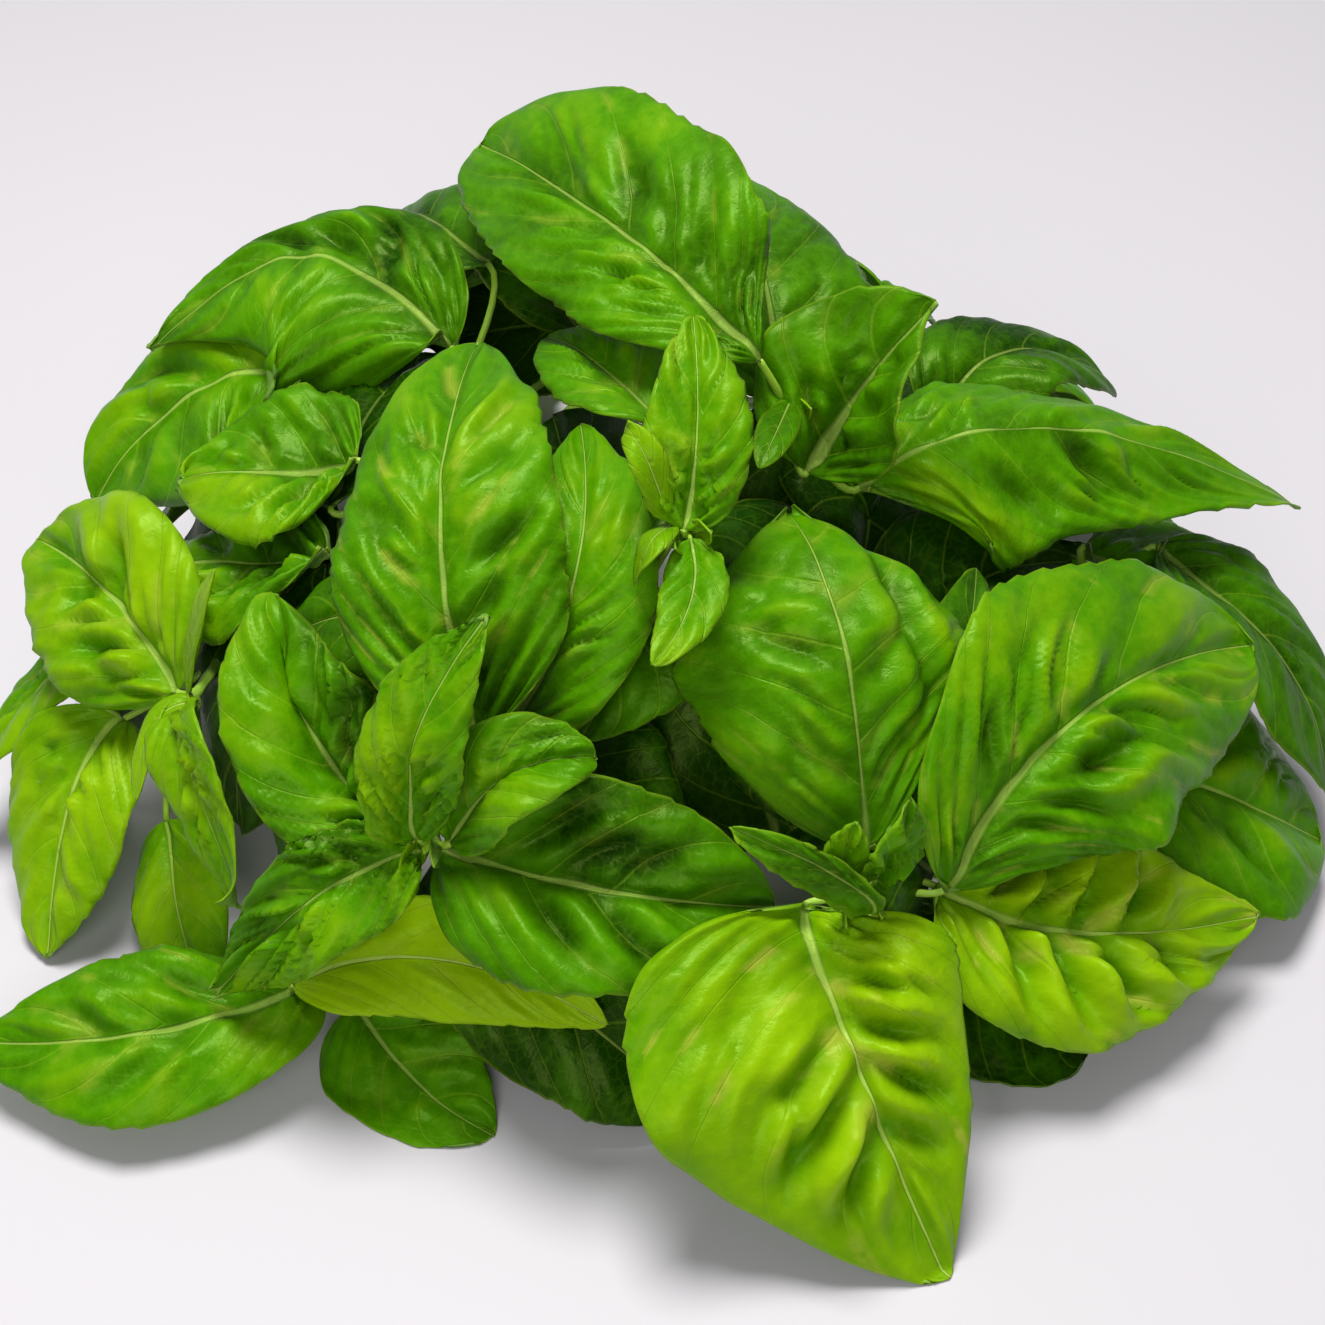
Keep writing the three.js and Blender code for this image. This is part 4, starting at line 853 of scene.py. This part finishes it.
def leaf_material(name, greens, under):
    """Fresh basil leaf, as grown. Above, a thin waxy skin gives it a soft gloss over a deep green that pales
    to yellow-green in young leaves, with fine pale veins sunk between puffed cells. Its green has painted
    shade in the creases, painted light on the puffs, and painted shade on the leaves hidden inside the heap.
    Beneath it is paler and dull, and the veins stand out. Light from behind shines through it yellow-green."""
    material, tree = new_material(name)
    flat, veins, leaf = (add(tree, "Attribute", attribute_name=n).outputs["Vector"] for n in BLADE_ATTRIBUTES)
    veins, leaf = (add(tree, "SeparateXYZ", (vector,)).outputs for vector in (veins, leaf))
    beside = add(tree, "Math", (add(tree, "SeparateXYZ", (flat,)),), operation="ABSOLUTE")

    # Side veins 0.5 mm wide, drawn up to 1 mm where they leave the rib; the rib is 2 mm wide at its base.
    off_vein = add(tree, "Math", (veins[0], 0.5), operation="PINGPONG")
    off_vein = add(tree, "Math", (off_vein, veins[1]), operation="MULTIPLY")
    narrow = add(tree, "MapRange", (beside, 0.0, 30.0, 0.75, 0.35))
    off_vein = add(tree, "Math", (off_vein, narrow), operation="DIVIDE")
    side = add(tree, "MapRange", (off_vein, 0.15, 1.0, 1.0, 0.0), interpolation_type="SMOOTHSTEP")
    off_rib = add(tree, "Math", (beside, veins[2]), operation="DIVIDE")
    rib = add(tree, "MapRange", (off_rib, 0.5, 1.4, 1.0, 0.0), interpolation_type="SMOOTHSTEP")
    # The net of the finest veins has cells of about 3 mm.
    net = add(tree, "TexVoronoi", {"Vector": flat, "Scale": 1 / 3.0}, feature="DISTANCE_TO_EDGE")
    net = add(tree, "MapRange", (net, 0.0, 0.12, 1.0, 0.0), interpolation_type="SMOOTHSTEP")

    # The tone drifts over about 20 mm and is mottled at about 3.5 mm. The tone it is added to holds painted
    # shade in the creases and painted light on the puffs.
    broad = add(tree, "TexNoise", {"Vector": flat, "Scale": 1 / 20, "Detail": 2.0})
    mottle = add(tree, "TexNoise", {"Vector": flat, "Scale": 1 / 3.5, "Detail": 4.0})
    tone = add(tree, "Math", (broad, 0.6, -0.3), operation="MULTIPLY_ADD")
    tone = add(tree, "Math", (tone, leaf[0]), operation="ADD")
    speck = add(tree, "Math", (mottle, 0.3, -0.15), operation="MULTIPLY_ADD")
    ramp = add(tree, "ValToRGB", (add(tree, "Math", (tone, speck), operation="ADD"),))
    stops = ramp.color_ramp.elements
    stops[0].color, stops[1].color = (*greens.deep, 1), (*greens.young, 1)
    stops.new(0.45).color = (*greens.full, 1)
    colour = ramp.outputs[0]

    # Rubbed, sun-bleached streaks, about 14 mm apart, along the veins
    rubbed = add(tree, "TexNoise", {"Vector": flat, "Scale": 1 / 14, "Detail": 6.0})
    rubbed = add(tree, "MapRange", (rubbed, 0.5, 0.62), interpolation_type="SMOOTHSTEP")
    streak = add(tree, "MapRange", (off_vein, 0.5, 7.0, 1.0, 0.0))
    rubbed = add(tree, "Math", (rubbed, streak), operation="MULTIPLY")
    rubbed = add(tree, "Math", (rubbed, leaf[1]), operation="MULTIPLY")
    pale_rib = add(tree, "Math", (leaf[0], 0.5, 0.28), operation="MULTIPLY_ADD")
    pale_rib = add(tree, "Math", (rib, pale_rib), operation="MULTIPLY")
    margin_line = add(tree, "MapRange", (leaf[2], 0.1, 0.9, 0.4, 0.0))
    for share, strength, paint in (
        (rubbed, 0.8, greens.scar),
        (net, 0.045, greens.vein),
        (side, 0.15, greens.vein),
        (margin_line, 0.8, greens.vein),
        (pale_rib, 1.0, greens.rib),
    ):
        share = add(tree, "Math", (share, strength), operation="MULTIPLY")
        colour = add(tree, "Mix", {0: share, 6: colour, 7: (*paint, 1)}, data_type="RGBA").outputs[2]
    if under:
        colour = add(tree, "Mix", {0: 0.45, 6: colour, 7: (*greens.under, 1)}, data_type="RGBA").outputs[2]

    # Veins lie below the skin above and stand out beneath, the rib by 0.5 mm and a side vein by 0.14 mm. The
    # skin is pebbled at about 1 mm.
    sunk = 1 if under else -1
    pebble = add(tree, "TexNoise", {"Vector": flat, "Scale": 0.9, "Detail": 3.0})
    forms = ((side, 0.14 * sunk), (rib, 0.5 * sunk), (net, 0.02 * sunk), (mottle, 0.4), (pebble, 0.07))
    height = 0.0
    for share, depth in forms:
        height = add(tree, "Math", (share, depth, height), operation="MULTIPLY_ADD")
    bump = add(tree, "Bump", {"Height": height, "Strength": 0.8, "Distance": MM})
    dull, duller = (0.55, 0.7) if under else (0.27, 0.42)
    rough = add(tree, "MapRange", (mottle, 0.3, 0.7, dull, duller))
    finish = {"Base Color": colour, "Roughness": rough, "Normal": bump, "IOR": 1.38}
    skin = add(tree, "BsdfPrincipled", finish | {"Specular Tint": (*greens.gloss, 1)})
    through = add(tree, "Mix", {0: 0.5, 6: colour, 7: (*greens.lit, 1)}, data_type="RGBA").outputs[2]
    glow = add(tree, "BsdfTranslucent", {"Color": through, "Normal": bump})
    add(tree, "OutputMaterial", {"Surface": add(tree, "MixShader", (0.25, skin, glow))})
    return material


def stem_material(greens):
    """Fresh basil stem, as grown: a pale green skin with fine lengthwise ribs and a soft gloss."""
    material, tree = new_material("fresh_basil_stem_as_grown")
    grain, kind = (add(tree, "Attribute", attribute_name=n).outputs["Vector"] for n in STEM_ATTRIBUTES)
    # Ribs about 0.5 mm apart, drawn ten times as long
    drawn = add(tree, "Mapping", {0: grain, "Scale": (2.0, 2.0, 0.2)})
    ribs = add(tree, "TexNoise", {"Vector": drawn, "Scale": 1.0, "Detail": 3.0})
    patches = add(tree, "TexNoise", {"Vector": grain, "Scale": 1 / 12, "Detail": 2.0})
    tint = add(tree, "Math", (patches, 0.8, -0.2), operation="MULTIPLY_ADD")
    young = add(tree, "SeparateXYZ", (kind,))
    tint = add(tree, "Math", (tint, young), operation="ADD", use_clamp=True)
    shades = {0: tint, 6: (*greens.stem, 1), 7: (*greens.young, 1)}
    colour = add(tree, "Mix", shades, data_type="RGBA").outputs[2]
    streak = add(tree, "MapRange", (ribs, 0.35, 0.65, 0.0, 0.3))
    colour = add(tree, "Mix", {0: streak, 6: colour, 7: (*greens.rib, 1)}, data_type="RGBA").outputs[2]
    bump = add(tree, "Bump", {"Height": ribs, "Strength": 0.5, "Distance": 0.4 * MM})
    rough = add(tree, "MapRange", (ribs, 0.3, 0.7, 0.35, 0.5))
    finish = {"Base Color": colour, "Roughness": rough, "Normal": bump, "IOR": 1.42}
    add(tree, "OutputMaterial", {"Surface": add(tree, "BsdfPrincipled", finish)})
    return material


def table_material(colour):
    """Matt white paint on board, rolled: an even pale ground with a faint cloudiness."""
    material, tree = new_material("rolled_matt_paint_on_board")
    place = add(tree, "TexCoord").outputs["Object"]
    cloud = add(tree, "TexNoise", {"Vector": place, "Scale": 3.0, "Detail": 2.0})
    shades = {0: cloud, 6: (*colour, 1), 7: (*(0.95 * c for c in colour), 1)}
    paint = add(tree, "Mix", shades, data_type="RGBA").outputs[2]
    finish = {"Base Color": paint, "Roughness": 0.6}
    add(tree, "OutputMaterial", {"Surface": add(tree, "BsdfPrincipled", finish)})
    return material


# ---- Settings ----


class BasilLeafSettings(bpy.types.PropertyGroup):
    """Sizes of the fine blades."""

    cell: FloatProperty(name="Cell", description="Size of a blade's faces", default=1.2 * MM, unit="LENGTH")
    hidden_cell: FloatProperty(
        name="Hidden cell", description="The same for leaves inside the heap", default=2.6 * MM, unit="LENGTH"
    )
    thickness: FloatProperty(name="Thickness", description="Of the blade", default=0.45 * MM, unit="LENGTH")
    rib_thickness: FloatProperty(
        name="Rib thickness", description="Of the blade at its rib's base", default=1.3 * MM, unit="LENGTH"
    )
    quilting: FloatProperty(
        name="Quilting", description="How far a crinkled leaf puffs up", default=9 * MM, unit="LENGTH"
    )
    tooth_length: FloatProperty(
        name="Tooth length", description="Along the margin", default=6.5 * MM, unit="LENGTH"
    )
    tooth_depth: FloatProperty(
        name="Tooth depth", description="Across the margin", default=1.1 * MM, unit="LENGTH"
    )


class BasilGreens(bpy.types.PropertyGroup):
    """The plant's colours."""

    # Deep is also the painted shade of the leaves hidden inside the heap.
    deep: FloatVectorProperty(
        name="Deep", description="Old leaves", subtype="COLOR", default=linear("#143c00")
    )
    full: FloatVectorProperty(
        name="Full", description="Grown leaves", subtype="COLOR", default=linear("#4f9200")
    )
    young: FloatVectorProperty(
        name="Young", description="Young leaves", subtype="COLOR", default=linear("#99c406")
    )
    vein: FloatVectorProperty(
        name="Vein", description="Side veins and margins", subtype="COLOR", default=linear("#a4cc2e")
    )
    rib: FloatVectorProperty(name="Rib", description="Midribs", subtype="COLOR", default=linear("#c0dc64"))
    under: FloatVectorProperty(
        name="Under", description="Undersides", subtype="COLOR", default=linear("#8cb05c")
    )
    scar: FloatVectorProperty(
        name="Scar", description="Rubbed patches", subtype="COLOR", default=linear("#b9bf42")
    )
    lit: FloatVectorProperty(
        name="Lit through", description="Light through a blade", subtype="COLOR", default=linear("#a6d018")
    )
    gloss: FloatVectorProperty(
        name="Gloss", description="Tint of a leaf's soft shine", subtype="COLOR", default=linear("#c2e670")
    )
    stem: FloatVectorProperty(
        name="Stem", description="Stems and petioles", subtype="COLOR", default=linear("#6f9c33")
    )


class BasilStage(bpy.types.PropertyGroup):
    """The table, the light and the camera."""

    ground: FloatVectorProperty(
        name="Table", description="The table's paint", subtype="COLOR", default=linear("#ccc8cb")
    )
    key: FloatProperty(name="Key light", description="Of the large soft lamp", default=22.0, unit="POWER")
    fill: FloatProperty(name="Fill light", description="Of the lamp in front", default=6.0, unit="POWER")
    lens: FloatProperty(name="Lens", description="Focal length", default=62.0, unit="CAMERA")
    elevation: FloatProperty(
        name="Elevation", description="Of the camera", default=math.radians(42), unit="ROTATION"
    )
    distance: FloatProperty(name="Distance", description="Camera to bunch", default=0.585, unit="LENGTH")


# ---- Operators ----

TABLE_REACH = 30  # metres to each side, so that its edge is out of sight
LAMP_AIM = Vector((0, 0, 0.06))
SKY, SKY_STRENGTH = (0.94, 0.96, 1, 1), 0.25
CAMERA_AIM = (0, -35, 52)  # in millimetres, like the layout


def make_piece(kind, bm, sprig, materials):
    """A sprig's finished leaves or stems, as a piece that rides on the part and replaces its CAD node."""
    name = sprig["name"].replace("sprig", kind)
    mesh = bpy.data.meshes.new(name)
    for face in bm.faces:
        face.smooth = True
    bm.to_mesh(mesh)
    bm.free()
    piece = bpy.data.objects.new(name, mesh)
    bpy.context.scene.collection.objects.link(piece)
    for material in materials:
        mesh.materials.append(material)
    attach(piece, "root")
    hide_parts(sprig["name"])
    return piece


class BASIL_OT_leaves(bpy.types.Operator):
    """Lays the leaves of every sprig over one another"""

    bl_idname = "basil.leaves"
    bl_label = "Lay the leaves"

    def execute(self, context):
        settings, greens = context.scene.basil_leaves, context.scene.basil_greens
        above = leaf_material("fresh_basil_leaf_above", greens, under=False)
        beneath = leaf_material("fresh_basil_leaf_beneath", greens, under=True)
        for k, sprig in enumerate(LAYOUT):
            bm = start_mesh(BLADE_ATTRIBUTES)
            for i, laid in enumerate(sprig["leaves"] + sprig["young"]):
                add_blade(bm, laid, settings, (k * 17 + i * 5.3) % 7.7)
            piece = make_piece("leaves", bm, sprig, [above, beneath])
            piece.vertex_groups.new(name="rib")
            shell = piece.modifiers.new("blade thickness", "SOLIDIFY")
            shell.thickness = settings.rib_thickness
            shell.offset = -1
            shell.vertex_group = "rib"
            shell.thickness_vertex_group = settings.thickness / settings.rib_thickness
            shell.material_offset = 1
        return {"FINISHED"}


class BASIL_OT_stems(bpy.types.Operator):
    """Runs the stems from the cut ends to the growing tips, with their petioles"""

    bl_idname = "basil.stems"
    bl_label = "Run the stems"

    def execute(self, context):
        skin = stem_material(context.scene.basil_greens)
        for k, sprig in enumerate(LAYOUT):
            bm = start_mesh(STEM_ATTRIBUTES)
            path = sprig["path"]
            share = np.linspace(0, 1, round(path.length / STEM_STEP) + 1)
            taper = STEM_RADIUS[0] + (STEM_RADIUS[1] - STEM_RADIUS[0]) * share
            from_tip = (1 - share)[:, None] * path.length
            swell, reach = KNOT
            knots = 1 + swell * np.exp(-(((from_tip - np.array(STEM_NODES)) / reach) ** 2)).max(axis=1)
            add_tube(bm, path.point(share), taper * knots, STEM_SIDES, k, YOUNG_STEM)
            for i, laid in enumerate(sprig["leaves"]):
                line = bezier(laid.petiole, np.linspace(0, 1, PETIOLE_POINTS))
                small = SMALL_PETIOLE if laid.leaf.width < SMALL_WIDTH else 1
                radii = small * np.linspace(*PETIOLE_RADIUS, len(line))
                radii[0] *= PETIOLE_FOOT
                add_tube(bm, line, radii, PETIOLE_SIDES, k + i * 0.1, YOUNG_PETIOLE)
            bmesh.ops.remove_doubles(bm, verts=bm.verts, dist=1e-7)
            bmesh.ops.holes_fill(bm, edges=[e for e in bm.edges if e.is_boundary], sides=0)
            bmesh.ops.recalc_face_normals(bm, faces=bm.faces)
            make_piece("stem", bm, sprig, [skin])
        return {"FINISHED"}


class BASIL_OT_stage(bpy.types.Operator):
    """Sets the table, its soft light and the camera"""

    bl_idname = "basil.stage"
    bl_label = "Set the stage"

    def execute(self, context):
        scene, stage = context.scene, context.scene.basil_stage
        bm = bmesh.new()
        bmesh.ops.create_grid(bm, x_segments=8, y_segments=8, size=TABLE_REACH)
        mesh = bpy.data.meshes.new("table")
        bm.to_mesh(mesh)
        bm.free()
        mesh.materials.append(table_material(stage.ground))
        table = bpy.data.objects.new("table", mesh)
        scene.collection.objects.link(table)

        for name, place, size, power in (
            ("key", (-0.12, 0.2, 1.35), 0.6, stage.key),
            ("fill", (-0.15, -1.1, 0.75), 0.7, stage.fill),
        ):
            lamp = bpy.data.lights.new(name, "AREA")
            lamp.shape, lamp.size, lamp.energy = "DISK", size, power
            holder = bpy.data.objects.new(name, lamp)
            holder.location = place
            holder.rotation_euler = (LAMP_AIM - Vector(place)).to_track_quat("-Z", "Y").to_euler()
            scene.collection.objects.link(holder)
        world = bpy.data.worlds.new("studio")
        world.use_nodes = True
        background = world.node_tree.nodes["Background"]
        background.inputs["Color"].default_value = SKY
        background.inputs["Strength"].default_value = SKY_STRENGTH
        scene.world = world
        scene.view_settings.view_transform = "Standard"

        camera = bpy.data.cameras.new("camera")
        camera.lens = stage.lens
        camera.sensor_width = 36
        eye = bpy.data.objects.new("camera", camera)
        target = Vector((np.array(CAMERA_AIM) + ORIGIN_SHIFT) * MM)
        back = Vector((0, -math.cos(stage.elevation), math.sin(stage.elevation)))
        eye.location = target + back * stage.distance
        eye.rotation_euler = (-back).to_track_quat("-Z", "Y").to_euler()
        scene.collection.objects.link(eye)
        scene.camera = eye
        return {"FINISHED"}


class BASIL_PT_panel(bpy.types.Panel):
    """The bunch's settings and the steps that make it"""

    bl_idname = "BASIL_PT_panel"
    bl_label = "Basil Bunch"
    bl_space_type = "VIEW_3D"
    bl_region_type = "UI"
    bl_category = "Basil"

    def draw(self, context):
        layout, scene = self.layout, context.scene
        for group, operator in (
            (scene.basil_leaves, BASIL_OT_leaves),
            (scene.basil_greens, BASIL_OT_stems),
            (scene.basil_stage, BASIL_OT_stage),
        ):
            box = layout.box()
            for name in group.__annotations__:
                box.prop(group, name)
            box.operator(operator.bl_idname)


CLASSES = (
    BasilLeafSettings,
    BasilGreens,
    BasilStage,
    BASIL_OT_leaves,
    BASIL_OT_stems,
    BASIL_OT_stage,
    BASIL_PT_panel,
)
GROUPS = {"basil_leaves": BasilLeafSettings, "basil_greens": BasilGreens, "basil_stage": BasilStage}
LAYOUT = []  # the sprigs as laid out, which main() works out once


def register():
    for cls in CLASSES:
        bpy.utils.register_class(cls)
    for name, group in GROUPS.items():
        setattr(bpy.types.Scene, name, PointerProperty(type=group))


def unregister():
    for name in GROUPS:
        delattr(bpy.types.Scene, name)
    for cls in reversed(CLASSES):
        bpy.utils.unregister_class(cls)


def main():
    register()
    LAYOUT.extend(lay_out())
    bpy.ops.basil.leaves()
    bpy.ops.basil.stems()
    bpy.ops.basil.stage()


if __name__ == "__main__":
    main()
